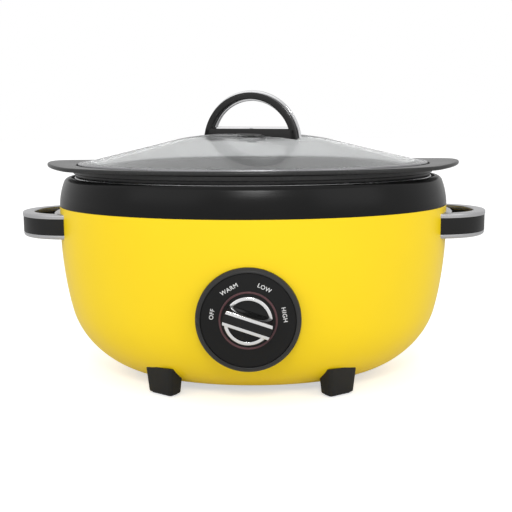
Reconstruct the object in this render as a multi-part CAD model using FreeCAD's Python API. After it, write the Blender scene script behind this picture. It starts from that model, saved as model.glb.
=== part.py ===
"""Oval slow cooker, in millimetres.

+Z is up, the control dial faces -Y and the handles lie along X. The origin is on the worktop,
on the upright axis of the vessel.
"""

import functools
import math
import os

import FreeCAD
import Part

V = FreeCAD.Vector

# Casing
HALF_WIDTH = 183.0
HALF_DEPTH = 137.25
CASING_TOP = 161.8
CASING_BOTTOM = 8.5
CASING_WALL = 1.0
FLANK_CORNER_HEIGHT = 102.0
FLANK_RADIUS = 285.0
BELLY_CORNER_INSET = 23.4
BELLY_CORNER_HEIGHT = 4.2
BELLY_RADIUS = 82.0
BOTTOM_OPENING_HALF_WIDTH = 100.0
SEAM_ANGLE = 38.0

# Top collar
COLLAR_HEIGHT = 26.9
COLLAR_SHOULDER_HEIGHT = 7.5
COLLAR_SHOULDER_RADIUS = 30.0
COLLAR_CREST_INSET = 6.0
COLLAR_CREST_RADIUS = 6.0
COLLAR_WALL = 3.5
COLLAR_BORE_INSET = 16.5
COLLAR_BORE_WALL = 3.0
COLLAR_SPIGOT_DEPTH = 6.0
RIM_GROOVE_DEPTH = 2.7
RIM_GROOVE_INSET = 11.5

# Heating well
WELL_RIM_INSET = 14.5
WELL_RIM_THICKNESS = 3.0
WELL_RIM_EDGE_RADIUS = 1.3
WELL_WALL = 1.0
WELL_CLEARANCE = 2.5
WELL_TAPER = 14.0
WELL_FLOOR = 47.5
WELL_CORNER_RADIUS = 30.0

# Cooking pot
POT_CLEARANCE = 2.5
POT_WALL = 3.0
POT_FLOOR_CLEARANCE = 2.5
SEAT_INSET = 15.5
SEAT_HEIGHT = 2.7
SHOULDER_INSET = 13.5
SHOULDER_HEIGHT = 4.4
FLANGE_THICKNESS = 3.8
FLANGE_EDGE_RADIUS = 1.7
WING_OVERHANG = 11.0
FLANGE_FRONT_INSET = 12.75
LID_RECESS_DEPTH = 2.6
LID_RECESS_GAP = 2.0

# Lid
LID_INSET = 18.0
LID_RIM_HEIGHT = 3.6
LID_RIM_WIDTH = 5.0
LID_RIM_LIP = 0.9
LID_RIM_TOP_LIP = 1.9
GLASS_THICKNESS = 4.0
DOME_RISE = 26.8
CROWN_HALF_WIDTH = 52.0
CROWN_HALF_DEPTH = 7.0
CROWN_SOFTENING = 14.0
CROWN_SOFTENING_DROP = 2.0

# Lid handle
LID_HANDLE_TURN = -20.0
LID_HANDLE_RADIUS = 47.5
LID_HANDLE_HEIGHT = 40.4
FRAME_THICKNESS = 3.6
FRAME_BAND = 9.0
FRAME_BAR_TOP = 6.6
GRIP_THICKNESS = 6.0
GRIP_SETBACK = 2.0
GRIP_INNER_SETBACK = 1.2
GRIP_EDGE_RADIUS = 1.8
HANDLE_PAD_THICKNESS = 0.8
HANDLE_PAD_RADIUS = 15.0
UNDER_WASHER_RADIUS = 13.0
UNDER_WASHER_DROP = 3.2
LID_SCREW_RADIUS = 2.5
LID_SCREW_HEAD_RADIUS = 5.0
LID_SCREW_HEAD_HEIGHT = 3.0
LID_SCREW_GRIP = 5.5

# Side handles
HANDLE_REACH = 37.5
HANDLE_RADIUS = 48.0
HANDLE_RAIL = 11.0
HANDLE_ROOT = 5.0
HANDLE_SEAM_GAP = 5.8
HANDLE_CORE_HEIGHT = 15.0
TRIM_HEIGHT = 4.0
TRIM_TOP_RADIUS = 1.5
TRIM_BOTTOM_RADIUS = 3.0
TRIM_SHADOW_GAP = 0.8
HANDLE_SCREW_SPREAD = 20.0
HANDLE_SCREW_RADIUS = 2.0
HANDLE_SCREW_HEAD_RADIUS = 4.0
HANDLE_SCREW_HEAD_HEIGHT = 2.4
HANDLE_SCREW_BITE = 4.0
BACKING_PLATE_THICKNESS = 1.5
BACKING_PLATE_MARGIN = 8.0

# Control panel
DIAL_HEIGHT = 78.6
BEZEL_RADIUS = 44.2
BEZEL_PROUD = 4.2
BEZEL_THICKNESS = 3.2
BEZEL_WIDTH = 4.2
BEZEL_BEVEL = 2.4
PANEL_WALL = 2.5
SPIGOT_RADIUS = 37.0
SPIGOT_REACH = 20.5
DIAL_PLATE_THICKNESS = 1.8
KNOB_RING_RADIUS = 24.5
KNOB_RING_WIDTH = 1.7
KNOB_RING_HEIGHT = 0.7

# Knob
KNOB_RADIUS = 20.5
KNOB_RING_BAND = 3.2
KNOB_RIM_HEIGHT = 3.0
KNOB_FLOOR_HEIGHT = 1.8
KNOB_HEIGHT = 18.0
KNOB_GAP = 0.4
BAR_TOP_WIDTH = 12.4
BAR_BASE_WIDTH = 17.0
BAR_CORE_WIDTH = 8.0
INSERT_WIDTH = 7.2
INSERT_DEPTH = 1.6
KNOB_TURN = -18.5

# Rotary switch
SHAFT_RADIUS = 3.0
SHAFT_FLAT = 0.8
SHAFT_GRIP = 9.0
SHAFT_RUNNING_GAP = 0.05
BUSH_RADIUS = 5.0
BUSH_PROUD = 3.4
BUSH_HOLE_GAP = 0.3
NUT_ACROSS_FLATS = 14.0
NUT_THICKNESS = 2.4
SWITCH_SIDE = 34.0
SWITCH_DEPTH = 11.0
SWITCH_WALL = 3.0
SWITCH_COVER = 1.5
ROTOR_RADIUS = 12.0
ROTOR_THICKNESS = 3.0
ROTOR_GAP = 0.4
TAB_WIDTH = 6.3
TAB_THICKNESS = 0.8
TAB_LENGTH = 9.0
TAB_SPACING = 11.0

# Heater and insulation
HEATER_BOTTOM = 64.0
HEATER_TOP = 112.0
HEATER_THICKNESS = 2.0
HEATER_SPLIT = 10.0
STRAP_BOTTOM = 82.0
STRAP_WIDTH = 14.0
STRAP_THICKNESS = 0.8
WRAP_GAP = 0.3
INSULATION_BOTTOM = 66.0
INSULATION_TOP = 150.0
INSULATION_THICKNESS = 7.0
WINDOW_MARGIN = 3.0

# Base, tie and feet
BASE_PLATE_THICKNESS = 1.2
BASE_PLATE_LAP = 6.0
TIE_RADIUS = 3.0
TIE_NUT_ACROSS_FLATS = 10.0
TIE_NUT_HEIGHT = 3.2
TIE_WASHER_RADIUS = 9.0
TIE_WASHER_THICKNESS = 1.2
FOOT_X = 71.5
FOOT_TURN = 32.0
FOOT_LENGTH = 34.0
FOOT_DEPTH = 24.0
FOOT_FLARE = 2.0
FOOT_CORNER_RADIUS = 4.0
PAD_LENGTH = 27.0
PAD_DEPTH = 17.0
PAD_HEIGHT = 3.0
PAD_PROUD = 1.2
FOOT_SCREW_RADIUS = 2.0
FOOT_SCREW_HEAD_RADIUS = 4.0
FOOT_SCREW_HEAD_HEIGHT = 2.5
FOOT_NUT_RADIUS = 5.0
FOOT_NUT_HEIGHT = 5.0

# Wiring and cord inlet
GLAND_HEIGHT = 66.0
GLAND_BORE_RADIUS = 3.8
GLAND_NECK_RADIUS = 6.2
GLAND_FLANGE_RADIUS = 9.0
GLAND_PROUD = 5.0
GLAND_INNER_REACH = 4.0
BLOCK_LENGTH = 32.0
BLOCK_DEPTH = 16.0
BLOCK_HEIGHT = 14.0
BLOCK_SETBACK = 52.0
FUSE_RADIUS = 2.2
FUSE_LENGTH = 14.0
FUSE_OFFSET = 36.0
CLIP_THICKNESS = 0.8
CLIP_WIDTH = 6.0
CLIP_FLANGE = 7.0
LEAD_RADIUS = 1.3
LEAD_DROP = 4.0
LEAD_STANDOFF = 8.0
LEAD_HEIGHT = 30.0
LEAD_BEND_SHARE = 0.45

# Clearances
SEAT_GAP = 0.3
FIT_GAP = 0.3
HOLE_GAP = 0.25
CUT_MARGIN = 5.0

OVAL_DROP = HALF_WIDTH - HALF_DEPTH
OPENING_HALF_DEPTH = BOTTOM_OPENING_HALF_WIDTH * HALF_DEPTH / HALF_WIDTH
FOOT_Y = OPENING_HALF_DEPTH + BASE_PLATE_LAP
CREST_HEIGHT = CASING_TOP + COLLAR_HEIGHT
LEDGE_HEIGHT = CREST_HEIGHT - RIM_GROOVE_DEPTH
WELL_RIM_TOP = LEDGE_HEIGHT + WELL_RIM_THICKNESS
SEAT_LEVEL = WELL_RIM_TOP + SEAT_GAP
SHOULDER_BOTTOM = SEAT_LEVEL + SEAT_HEIGHT
FLANGE_BOTTOM = SHOULDER_BOTTOM + SHOULDER_HEIGHT
FLANGE_TOP = FLANGE_BOTTOM + FLANGE_THICKNESS
LID_SEAT = FLANGE_TOP - LID_RECESS_DEPTH
LID_BOTTOM = LID_SEAT + SEAT_GAP
GLASS_BOTTOM = LID_BOTTOM + LID_RIM_LIP
GLASS_EDGE_TOP = LID_BOTTOM + LID_RIM_HEIGHT - LID_RIM_LIP
DOME_TOP = GLASS_EDGE_TOP + DOME_RISE
WELL_OUTER = HALF_WIDTH - COLLAR_BORE_INSET - WELL_CLEARANCE
POT_OUTER = WELL_OUTER - WELL_WALL - POT_CLEARANCE
LID_HALF_WIDTH = HALF_WIDTH - LID_INSET
BEZEL_FACE = -(HALF_DEPTH + BEZEL_PROUD)
PANEL_FACE = BEZEL_FACE + BEZEL_THICKNESS
DIAL_FACE = PANEL_FACE - DIAL_PLATE_THICKNESS
WEB_BACK = PANEL_FACE + PANEL_WALL
SPIGOT_BACK = PANEL_FACE + SPIGOT_REACH
SWITCH_BACK = WEB_BACK + SWITCH_DEPTH
HANDLE_MID_HEIGHT = CASING_TOP - HANDLE_SEAM_GAP - TRIM_HEIGHT - HANDLE_CORE_HEIGHT / 2


def rounded(corners):
    """Closed wire through (x, z, radius) corners in the XZ plane, each corner rounded by its radius."""
    count = len(corners)
    points = [V(x, 0, z) for x, z, radius in corners]
    setbacks = []
    for i, (x, z, radius) in enumerate(corners):
        to_last = points[i - 1] - points[i]
        to_next = points[(i + 1) % count] - points[i]
        half_angle = to_last.getAngle(to_next) / 2
        setbacks.append(radius / math.tan(half_angle) if radius else 0.0)
    limits = []
    for i in range(count):
        run = points[(i + 1) % count].distanceToPoint(points[i])
        wanted = setbacks[i] + setbacks[(i + 1) % count]
        limits.append(min(1.0, 0.999 * run / wanted) if wanted else 1.0)
    edges = []
    ends = []
    for i in range(count):
        setback = setbacks[i] * min(limits[i - 1], limits[i])
        to_last = (points[i - 1] - points[i]).normalize()
        to_next = (points[(i + 1) % count] - points[i]).normalize()
        start = points[i] + to_last * setback
        end = points[i] + to_next * setback
        arc = None
        if setback:
            half_angle = to_last.getAngle(to_next) / 2
            radius = setback * math.tan(half_angle)
            inward = (to_last + to_next).normalize()
            middle = points[i] + inward * (radius / math.sin(half_angle) - radius)
            arc = Part.Arc(start, middle, end).toShape()
        ends.append((start, arc, end))
    for i in range(count):
        start, arc, end = ends[i]
        if arc:
            edges.append(arc)
        following = ends[(i + 1) % count][0]
        if end.distanceToPoint(following) > 1e-6:
            edges.append(Part.LineSegment(end, following).toShape())
    return Part.Wire(Part.__sortEdges__(edges))


def oval(corners, half_width, half_depth=None):
    """Body turned from an (r, z, radius) outline and drawn in front to back to its own oval."""
    if half_depth is None:
        half_depth = half_width - OVAL_DROP
    face = Part.Face(rounded(corners))
    face.rotate(V(0, 0, 0), V(0, 0, 1), SEAM_ANGLE)
    body = face.revolve(V(0, 0, 0), V(0, 0, 1), 360)
    squeeze = FreeCAD.Matrix()
    squeeze.scale(V(1, half_depth / half_width, 1))
    return body.transformGeometry(squeeze)


def oval_disc(half_width, bottom, top, half_depth=None, edge=0.0):
    """Oval plate between two heights, its rim rounded by edge."""
    corners = [(0, bottom, 0), (half_width, bottom, edge), (half_width, top, edge), (0, top, 0)]
    return oval(corners, half_width, half_depth)


def inset(path, distance):
    """The (r, z, radius) path of a wall's inner face, a distance inside its outer path down to the axis."""
    lines = []
    for (r1, z1, _), (r2, z2, _) in zip(path, path[1:]):
        length = math.hypot(r2 - r1, z2 - z1)
        normal = ((z2 - z1) / length, -(r2 - r1) / length)
        lines.append((r1 + normal[0] * distance, z1 + normal[1] * distance, r2 - r1, z2 - z1))
    inner = [(lines[0][0], lines[0][1], 0.0)]
    for (ax, az, au, aw), (bx, bz, bu, bw), corner in zip(lines, lines[1:], path[1:]):
        share = ((bx - ax) * bw - (bz - az) * bu) / (au * bw - aw * bu)
        inner.append((ax + share * au, az + share * aw, max(corner[2] - distance, 0.0)))
    last = lines[-1]
    inner.append((0.0, last[1] + last[3], 0.0))
    return inner


def filled(path, half_width, top):
    """Solid vessel under an outer path, closed at the top height."""
    return oval([(0, top, 0), (path[0][0], top, 0)] + path[1:], half_width)


def slab(bottom, top):
    """Plate wider than the cooker between two heights."""
    side = 4 * HALF_WIDTH
    return Part.makeBox(side, side, top - bottom, V(-side / 2, -side / 2, bottom))


def box(width, depth, height, centre):
    """Block centred on a point."""
    return Part.makeBox(width, depth, height, centre - V(width / 2, depth / 2, height / 2))


def forward(radius, back, front, x=0.0, z=DIAL_HEIGHT):
    """Round bar along Y from the back plane to the front plane."""
    return Part.makeCylinder(radius, back - front, V(x, back, z), V(0, -1, 0))


def upright(radius, bottom, top, x=0.0, y=0.0):
    """Round bar along Z."""
    return Part.makeCylinder(radius, top - bottom, V(x, y, bottom))


def hexagon(across_flats, bottom, top):
    """Hexagonal bar on the Z axis."""
    corner = across_flats / math.sqrt(3)
    turns = [math.radians(turn) for turn in range(0, 420, 60)]
    points = [V(corner * math.cos(turn), corner * math.sin(turn), bottom) for turn in turns]
    return Part.Face(Part.makePolygon(points)).extrude(V(0, 0, top - bottom))


def union(shapes):
    """One solid from overlapping shapes."""
    return shapes[0].fuse(shapes[1:]).removeSplitter()


def mirrored_x(shape):
    """The same piece at the other end of the cooker."""
    return shape.mirror(V(0, 0, 0), V(1, 0, 0))


def mirrored_y(shape):
    """The same piece on the other long side of the cooker."""
    return shape.mirror(V(0, 0, 0), V(0, 1, 0))


def at_corners(shape):
    """A front right foot's piece and its three mirrored twins, by corner."""
    front_left = mirrored_x(shape)
    return {
        "front_left": front_left,
        "front_right": shape,
        "rear_left": mirrored_y(front_left),
        "rear_right": mirrored_y(shape),
    }


CASING_PATH = [
    (HALF_WIDTH, CASING_TOP, 0.0),
    (HALF_WIDTH, FLANK_CORNER_HEIGHT, FLANK_RADIUS),
    (HALF_WIDTH - BELLY_CORNER_INSET, BELLY_CORNER_HEIGHT, BELLY_RADIUS),
    (0.0, BELLY_CORNER_HEIGHT, 0.0),
]


@functools.lru_cache
def casing_body(depth, floor, top=CASING_TOP):
    """Solid body the shape of the casing's face at a depth below its paint, from the floor up."""
    half_width = HALF_WIDTH - depth
    return filled(inset(CASING_PATH, depth), half_width, top).common(slab(floor, top))


CASING_OUTER = casing_body(0.0, CASING_BOTTOM)
CASING_INNER = casing_body(CASING_WALL, CASING_BOTTOM + CASING_WALL)


def handle_screw_axes():
    """(side, y) of the four handle screws."""
    return [(side, y) for side in (-1, 1) for y in (-HANDLE_SCREW_SPREAD, HANDLE_SCREW_SPREAD)]


def end_bar(radius, side, y, start, end):
    """Round bar along X between two distances from the vessel axis, at a handle screw."""
    bar = Part.makeCylinder(radius, end - start, V(side * start, y, HANDLE_MID_HEIGHT), V(side, 0, 0))
    bar.rotate(V(0, y, HANDLE_MID_HEIGHT), V(1, 0, 0), SEAM_ANGLE)
    return bar


def casing_end(depth, y):
    """Distance from the vessel axis to the casing's face at a depth below its paint, at a handle screw."""
    half_width = HALF_WIDTH - depth
    half_depth = HALF_DEPTH - depth
    return half_width * math.sqrt(1 - (y / half_depth) ** 2)


def outer_casing():
    """Pressed steel bowl with a turned-in bottom flange and holes for panel, gland, handles and feet."""
    body = CASING_OUTER.cut(casing_body(CASING_WALL, CASING_BOTTOM + CASING_WALL, CASING_TOP + CUT_MARGIN))
    cuts = [
        oval_disc(BOTTOM_OPENING_HALF_WIDTH, 0, CASING_BOTTOM + CUT_MARGIN, OPENING_HALF_DEPTH),
        forward(SPIGOT_RADIUS + FIT_GAP, -HALF_DEPTH / 2, BEZEL_FACE),
        forward(GLAND_NECK_RADIUS + HOLE_GAP, 2 * HALF_DEPTH, HALF_DEPTH / 2, 0, GLAND_HEIGHT),
    ]
    for side, y in handle_screw_axes():
        cuts.append(end_bar(HANDLE_SCREW_RADIUS + HOLE_GAP, side, y, HALF_WIDTH / 2, 2 * HALF_WIDTH))
    foot_hole = upright(FOOT_SCREW_RADIUS + HOLE_GAP, 0, FLANK_CORNER_HEIGHT, FOOT_X, -FOOT_Y)
    for cut in cuts + list(at_corners(foot_hole).values()):
        body = body.cut(cut)
    return body


def top_collar():
    """Moulded channel ring on the casing's edge, with a ledge that carries the well's rim."""
    outer = oval(
        [
            (0, CASING_TOP, 0),
            (HALF_WIDTH, CASING_TOP, 0),
            (HALF_WIDTH, CASING_TOP + COLLAR_SHOULDER_HEIGHT, COLLAR_SHOULDER_RADIUS),
            (HALF_WIDTH - COLLAR_CREST_INSET, CREST_HEIGHT, COLLAR_CREST_RADIUS),
            (0, CREST_HEIGHT, 0),
        ],
        HALF_WIDTH,
    )
    spigot_half_width = HALF_WIDTH - CASING_WALL - FIT_GAP
    spigot_bottom = CASING_TOP - COLLAR_SPIGOT_DEPTH
    spigot = oval_disc(spigot_half_width, spigot_bottom, CASING_TOP + COLLAR_SHOULDER_HEIGHT)
    channel_half_width = HALF_WIDTH - CASING_WALL - COLLAR_WALL
    channel = oval(
        [
            (0, spigot_bottom - CUT_MARGIN, 0),
            (channel_half_width, spigot_bottom - CUT_MARGIN, 0),
            (channel_half_width, LEDGE_HEIGHT - COLLAR_WALL, COLLAR_HEIGHT / 2),
            (0, LEDGE_HEIGHT - COLLAR_WALL, 0),
        ],
        channel_half_width,
    )
    bore_half_width = HALF_WIDTH - COLLAR_BORE_INSET
    channel = channel.cut(oval_disc(bore_half_width + COLLAR_BORE_WALL, 0, CREST_HEIGHT))
    bore = oval_disc(bore_half_width, 0, CREST_HEIGHT + CUT_MARGIN)
    groove = oval_disc(HALF_WIDTH - RIM_GROOVE_INSET, LEDGE_HEIGHT, CREST_HEIGHT + CUT_MARGIN)
    return outer.fuse(spigot).cut([channel, bore, groove])


def well_path(growth):
    """Outer path of the heating well's wall, grown outwards by a distance."""
    top = WELL_OUTER + growth
    floor = WELL_FLOOR - WELL_WALL - growth
    return [
        (top, WELL_RIM_TOP, 0.0),
        (top - WELL_TAPER, floor, WELL_CORNER_RADIUS + growth),
        (0.0, floor, 0.0),
    ]


@functools.lru_cache
def well_body(growth, top=WELL_RIM_TOP):
    """Solid the shape of the well's outside, grown outwards by a distance."""
    return filled(well_path(growth), WELL_OUTER + growth, top)


def heating_well():
    """Pressed liner that the pot hangs in, with a rolled rim that lies on the collar's ledge."""
    rim_half_width = HALF_WIDTH - WELL_RIM_INSET
    rim = oval_disc(rim_half_width, LEDGE_HEIGHT, WELL_RIM_TOP, edge=WELL_RIM_EDGE_RADIUS)
    hollow = well_body(-WELL_WALL, WELL_RIM_TOP + CUT_MARGIN)
    return well_body(0.0).fuse(rim).cut(hollow)


def pot_path(growth):
    """Outer path of the pot's wall below its seat, grown outwards by a distance."""
    top = POT_OUTER + growth
    floor = WELL_FLOOR + POT_FLOOR_CLEARANCE - growth
    return [
        (top, FLANGE_TOP, 0.0),
        (top - WELL_TAPER, floor, WELL_CORNER_RADIUS - POT_CLEARANCE + growth),
        (0.0, floor, 0.0),
    ]


def cooking_pot():
    """Coated pot with a seat on the well's rim, a shoulder, and a flange that widens into end wings."""
    wall = filled(pot_path(0.0), POT_OUTER, FLANGE_BOTTOM)
    seat = oval_disc(HALF_WIDTH - SEAT_INSET, SEAT_LEVEL, SHOULDER_BOTTOM)
    shoulder = oval_disc(HALF_WIDTH - SHOULDER_INSET, SHOULDER_BOTTOM, FLANGE_BOTTOM)
    flange = oval_disc(
        HALF_WIDTH + WING_OVERHANG,
        FLANGE_BOTTOM,
        FLANGE_TOP,
        HALF_DEPTH - FLANGE_FRONT_INSET,
        FLANGE_EDGE_RADIUS,
    )
    cavity = filled(pot_path(-POT_WALL), POT_OUTER - POT_WALL, FLANGE_TOP + CUT_MARGIN)
    recess = oval_disc(LID_HALF_WIDTH + LID_RECESS_GAP, LID_SEAT, FLANGE_TOP + CUT_MARGIN)
    return wall.fuse([seat, shoulder, flange]).cut([cavity, recess])


def ellipse(half_width, half_depth, height):
    """Oval wire at a height."""
    return Part.Wire(Part.Ellipse(V(0, 0, height), half_width, half_depth).toShape())


def oval_plate(half_width, bottom, top):
    """Sharp-edged oval plate between two heights."""
    return Part.Face(ellipse(half_width, half_width - OVAL_DROP, bottom)).extrude(V(0, 0, top - bottom))


@functools.lru_cache
def dome(lift, bottom=SEAT_LEVEL):
    """Loaf-shaped body of the lid's outside, its slopes and crown raised or lowered by lift."""
    edge_half_width = LID_HALF_WIDTH - LID_RIM_LIP + min(lift, 0.0)
    edge_half_depth = edge_half_width - OVAL_DROP
    crown_height = DOME_TOP + lift
    soft_height = crown_height - CROWN_SOFTENING_DROP
    sections = [
        ellipse(edge_half_width, edge_half_depth, bottom),
        ellipse(edge_half_width, edge_half_depth, GLASS_EDGE_TOP + lift),
        ellipse(CROWN_HALF_WIDTH + CROWN_SOFTENING, CROWN_HALF_DEPTH + CROWN_SOFTENING, soft_height),
        ellipse(CROWN_HALF_WIDTH, CROWN_HALF_DEPTH, crown_height),
    ]
    return Part.makeLoft(sections, True, True)


def lid_glass():
    """Tempered glass dome with a hole for the handle screw."""
    shell = dome(0.0, GLASS_BOTTOM).cut(dome(-GLASS_THICKNESS))
    return shell.cut(upright(LID_SCREW_RADIUS + HOLE_GAP, 0, DOME_TOP + CUT_MARGIN))


def lid_rim():
    """Rolled steel channel round the glass edge."""
    ring = oval_plate(LID_HALF_WIDTH, LID_BOTTOM, LID_BOTTOM + LID_RIM_HEIGHT)
    edges = [edge for edge in ring.Edges if edge.BoundBox.ZLength < LID_RIM_HEIGHT / 2]
    ring = ring.makeChamfer(LID_RIM_LIP / 2, edges)
    bore = oval_plate(LID_HALF_WIDTH - LID_RIM_WIDTH, 0, DOME_TOP)
    lip_bore = oval_plate(LID_HALF_WIDTH - LID_RIM_LIP - LID_RIM_TOP_LIP, GLASS_BOTTOM, DOME_TOP)
    return ring.cut(bore).cut(lip_bore).cut(dome(0.0, GLASS_BOTTOM))


def handle_outline(radius, band_inner, bar_top, floor):
    """Face of the lid handle: an arch with a D-shaped opening above its base bar."""
    centre = DOME_TOP + LID_HANDLE_HEIGHT - LID_HANDLE_RADIUS
    arch = Part.Wire(
        [
            Part.LineSegment(V(-radius, 0, floor), V(radius, 0, floor)).toShape(),
            Part.LineSegment(V(radius, 0, floor), V(radius, 0, centre)).toShape(),
            Part.Arc(V(radius, 0, centre), V(0, 0, centre + radius), V(-radius, 0, centre)).toShape(),
            Part.LineSegment(V(-radius, 0, centre), V(-radius, 0, floor)).toShape(),
        ]
    )
    half_chord = math.sqrt(band_inner**2 - (bar_top - centre) ** 2)
    opening = Part.Wire(
        [
            Part.LineSegment(V(-half_chord, 0, bar_top), V(half_chord, 0, bar_top)).toShape(),
            Part.Arc(
                V(half_chord, 0, bar_top),
                V(0, 0, centre + band_inner),
                V(-half_chord, 0, bar_top),
            ).toShape(),
        ]
    )
    return Part.Face(arch).cut(Part.Face(opening))


def on_lid(shape):
    """Handle piece turned to its place on the lid and cut to the dome, with room for the pad."""
    shape.rotate(V(0, 0, 0), V(0, 0, 1), LID_HANDLE_TURN)
    return shape.cut(dome(HANDLE_PAD_THICKNESS))


def lid_screw():
    """Screw from under the lid into the handle's frame."""
    head_top = DOME_TOP - GLASS_THICKNESS - UNDER_WASHER_DROP
    shank = upright(LID_SCREW_RADIUS, head_top, DOME_TOP + LID_SCREW_GRIP)
    head = upright(LID_SCREW_HEAD_RADIUS, head_top - LID_SCREW_HEAD_HEIGHT, head_top)
    return union([shank, head])


def lid_handle_frame():
    """Chrome D-frame that shows as a line along the arch and the opening."""
    floor = GLASS_EDGE_TOP
    bar_top = DOME_TOP + FRAME_BAR_TOP
    face = handle_outline(LID_HANDLE_RADIUS, LID_HANDLE_RADIUS - FRAME_BAND, bar_top, floor)
    face.translate(V(0, FRAME_THICKNESS / 2, 0))
    return on_lid(face.extrude(V(0, -FRAME_THICKNESS, 0))).cut(lid_screw())


def lid_handle_grip(side):
    """Moulded grip on one face of the frame, its outer edges rounded."""
    radius = LID_HANDLE_RADIUS - GRIP_SETBACK
    band_inner = LID_HANDLE_RADIUS - FRAME_BAND + GRIP_INNER_SETBACK
    bar_top = DOME_TOP + FRAME_BAR_TOP - GRIP_INNER_SETBACK
    face = handle_outline(radius, band_inner, bar_top, GLASS_EDGE_TOP)
    face.translate(V(0, side * FRAME_THICKNESS / 2, 0))
    grip = face.extrude(V(0, side * GRIP_THICKNESS, 0))
    outer = side * (FRAME_THICKNESS / 2 + GRIP_THICKNESS)
    front = box(2 * HALF_WIDTH, SEAT_GAP, 2 * HALF_WIDTH, V(0, outer, DOME_TOP)).BoundBox
    edges = [edge for edge in grip.Edges if front.isInside(edge.BoundBox)]
    grip = grip.makeFillet(GRIP_EDGE_RADIUS, edges)
    return on_lid(grip).cut(lid_screw())


def lid_handle_pad():
    """Soft pad between the handle and the glass, shaped to the dome."""
    disc = upright(HANDLE_PAD_RADIUS, GLASS_EDGE_TOP, DOME_TOP + HANDLE_PAD_THICKNESS)
    pad = disc.common(dome(HANDLE_PAD_THICKNESS)).cut(dome(0.0))
    return pad.cut(upright(LID_SCREW_RADIUS + HOLE_GAP, 0, 2 * DOME_TOP))


def lid_under_washer():
    """Washer under the glass, shaped to its inner face, that the screw head draws up."""
    inner_top = DOME_TOP - GLASS_THICKNESS
    disc = upright(UNDER_WASHER_RADIUS, inner_top - UNDER_WASHER_DROP, inner_top)
    washer = disc.common(dome(-GLASS_THICKNESS))
    return washer.cut(upright(LID_SCREW_RADIUS + HOLE_GAP, 0, DOME_TOP))


def side_loop(bottom, top, shrink, low_edge, high_edge):
    """Right-hand handle loop between two heights: a round bow and a root along the casing."""
    outer = HANDLE_RADIUS - shrink
    inner = HANDLE_RADIUS - HANDLE_RAIL + shrink
    section = [
        (inner, bottom, low_edge),
        (outer, bottom, low_edge),
        (outer, top, high_edge),
        (inner, top, high_edge),
    ]
    bow = Part.Face(rounded(section)).revolve(V(0, 0, 0), V(0, 0, 1), 360)
    centre = V(HALF_WIDTH + HANDLE_REACH - HANDLE_RADIUS, 0, 0)
    bow.translate(centre)
    root = Part.makeCylinder((inner + outer) / 2, top - bottom, centre + V(0, 0, bottom))
    root = root.common(oval_disc(HALF_WIDTH + FIT_GAP + HANDLE_ROOT - shrink, bottom, top))
    body = oval_disc(HALF_WIDTH + FIT_GAP, bottom - CUT_MARGIN, top + CUT_MARGIN)
    return bow.fuse(root).cut(body)


def handle_screws_right():
    """The right-hand pair of handle screws, driven outwards from inside the casing."""
    seat = casing_end(CASING_WALL + BACKING_PLATE_THICKNESS, HANDLE_SCREW_SPREAD + HANDLE_SCREW_HEAD_RADIUS)
    tip = casing_end(-FIT_GAP, HANDLE_SCREW_SPREAD) + HANDLE_SCREW_BITE
    screws = []
    for y in (-HANDLE_SCREW_SPREAD, HANDLE_SCREW_SPREAD):
        shank = end_bar(HANDLE_SCREW_RADIUS, 1, y, seat, tip)
        head = end_bar(HANDLE_SCREW_HEAD_RADIUS, 1, y, seat - HANDLE_SCREW_HEAD_HEIGHT, seat)
        screws.append(union([shank, head]))
    return screws


def handle_grip_right():
    """Black core of the side handle."""
    half = HANDLE_CORE_HEIGHT / 2
    core = side_loop(HANDLE_MID_HEIGHT - half, HANDLE_MID_HEIGHT + half, 0.0, 0.0, 0.0)
    return core.cut(handle_screws_right())


def handle_top_trim_right():
    """Silver trim on top of the side handle."""
    bottom = HANDLE_MID_HEIGHT + HANDLE_CORE_HEIGHT / 2
    top = bottom + TRIM_HEIGHT
    return side_loop(bottom, top, 0.0, 0.0, TRIM_TOP_RADIUS)


def handle_bottom_trim_right():
    """Silver trim under the side handle, its lower edges well rounded."""
    top = HANDLE_MID_HEIGHT - HANDLE_CORE_HEIGHT / 2
    bottom = top - TRIM_HEIGHT
    return side_loop(bottom, top, TRIM_SHADOW_GAP, TRIM_BOTTOM_RADIUS, 0.0)


def handle_backing_plate_right():
    """Curved steel plate inside the casing that spreads the pull of the handle screws."""
    width = 2 * (HANDLE_SCREW_SPREAD + BACKING_PLATE_MARGIN)
    block = box(HALF_WIDTH, width, HANDLE_CORE_HEIGHT, V(HALF_WIDTH, 0, HANDLE_MID_HEIGHT))
    plate = CASING_INNER.common(block).cut(casing_body(CASING_WALL + BACKING_PLATE_THICKNESS, CASING_BOTTOM))
    hole_radius = HANDLE_SCREW_RADIUS + HOLE_GAP
    for side, y in handle_screw_axes():
        plate = plate.cut(end_bar(hole_radius, side, y, HALF_WIDTH / 2, 2 * HALF_WIDTH))
    return plate


def panel_housing():
    """Moulded drum behind the dial: a skirt shaped to the casing, a web, and a spigot through the casing."""
    skirt = forward(BEZEL_RADIUS, 0, PANEL_FACE).cut(CASING_OUTER)
    skirt = skirt.cut(forward(BEZEL_RADIUS - PANEL_WALL, 0, WEB_BACK))
    spigot = forward(SPIGOT_RADIUS, SPIGOT_BACK, PANEL_FACE)
    spigot = spigot.cut(forward(SPIGOT_RADIUS - PANEL_WALL, SPIGOT_BACK, WEB_BACK))
    return skirt.fuse(spigot).cut(forward(BUSH_RADIUS + BUSH_HOLE_GAP, 0, BEZEL_FACE))


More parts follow.
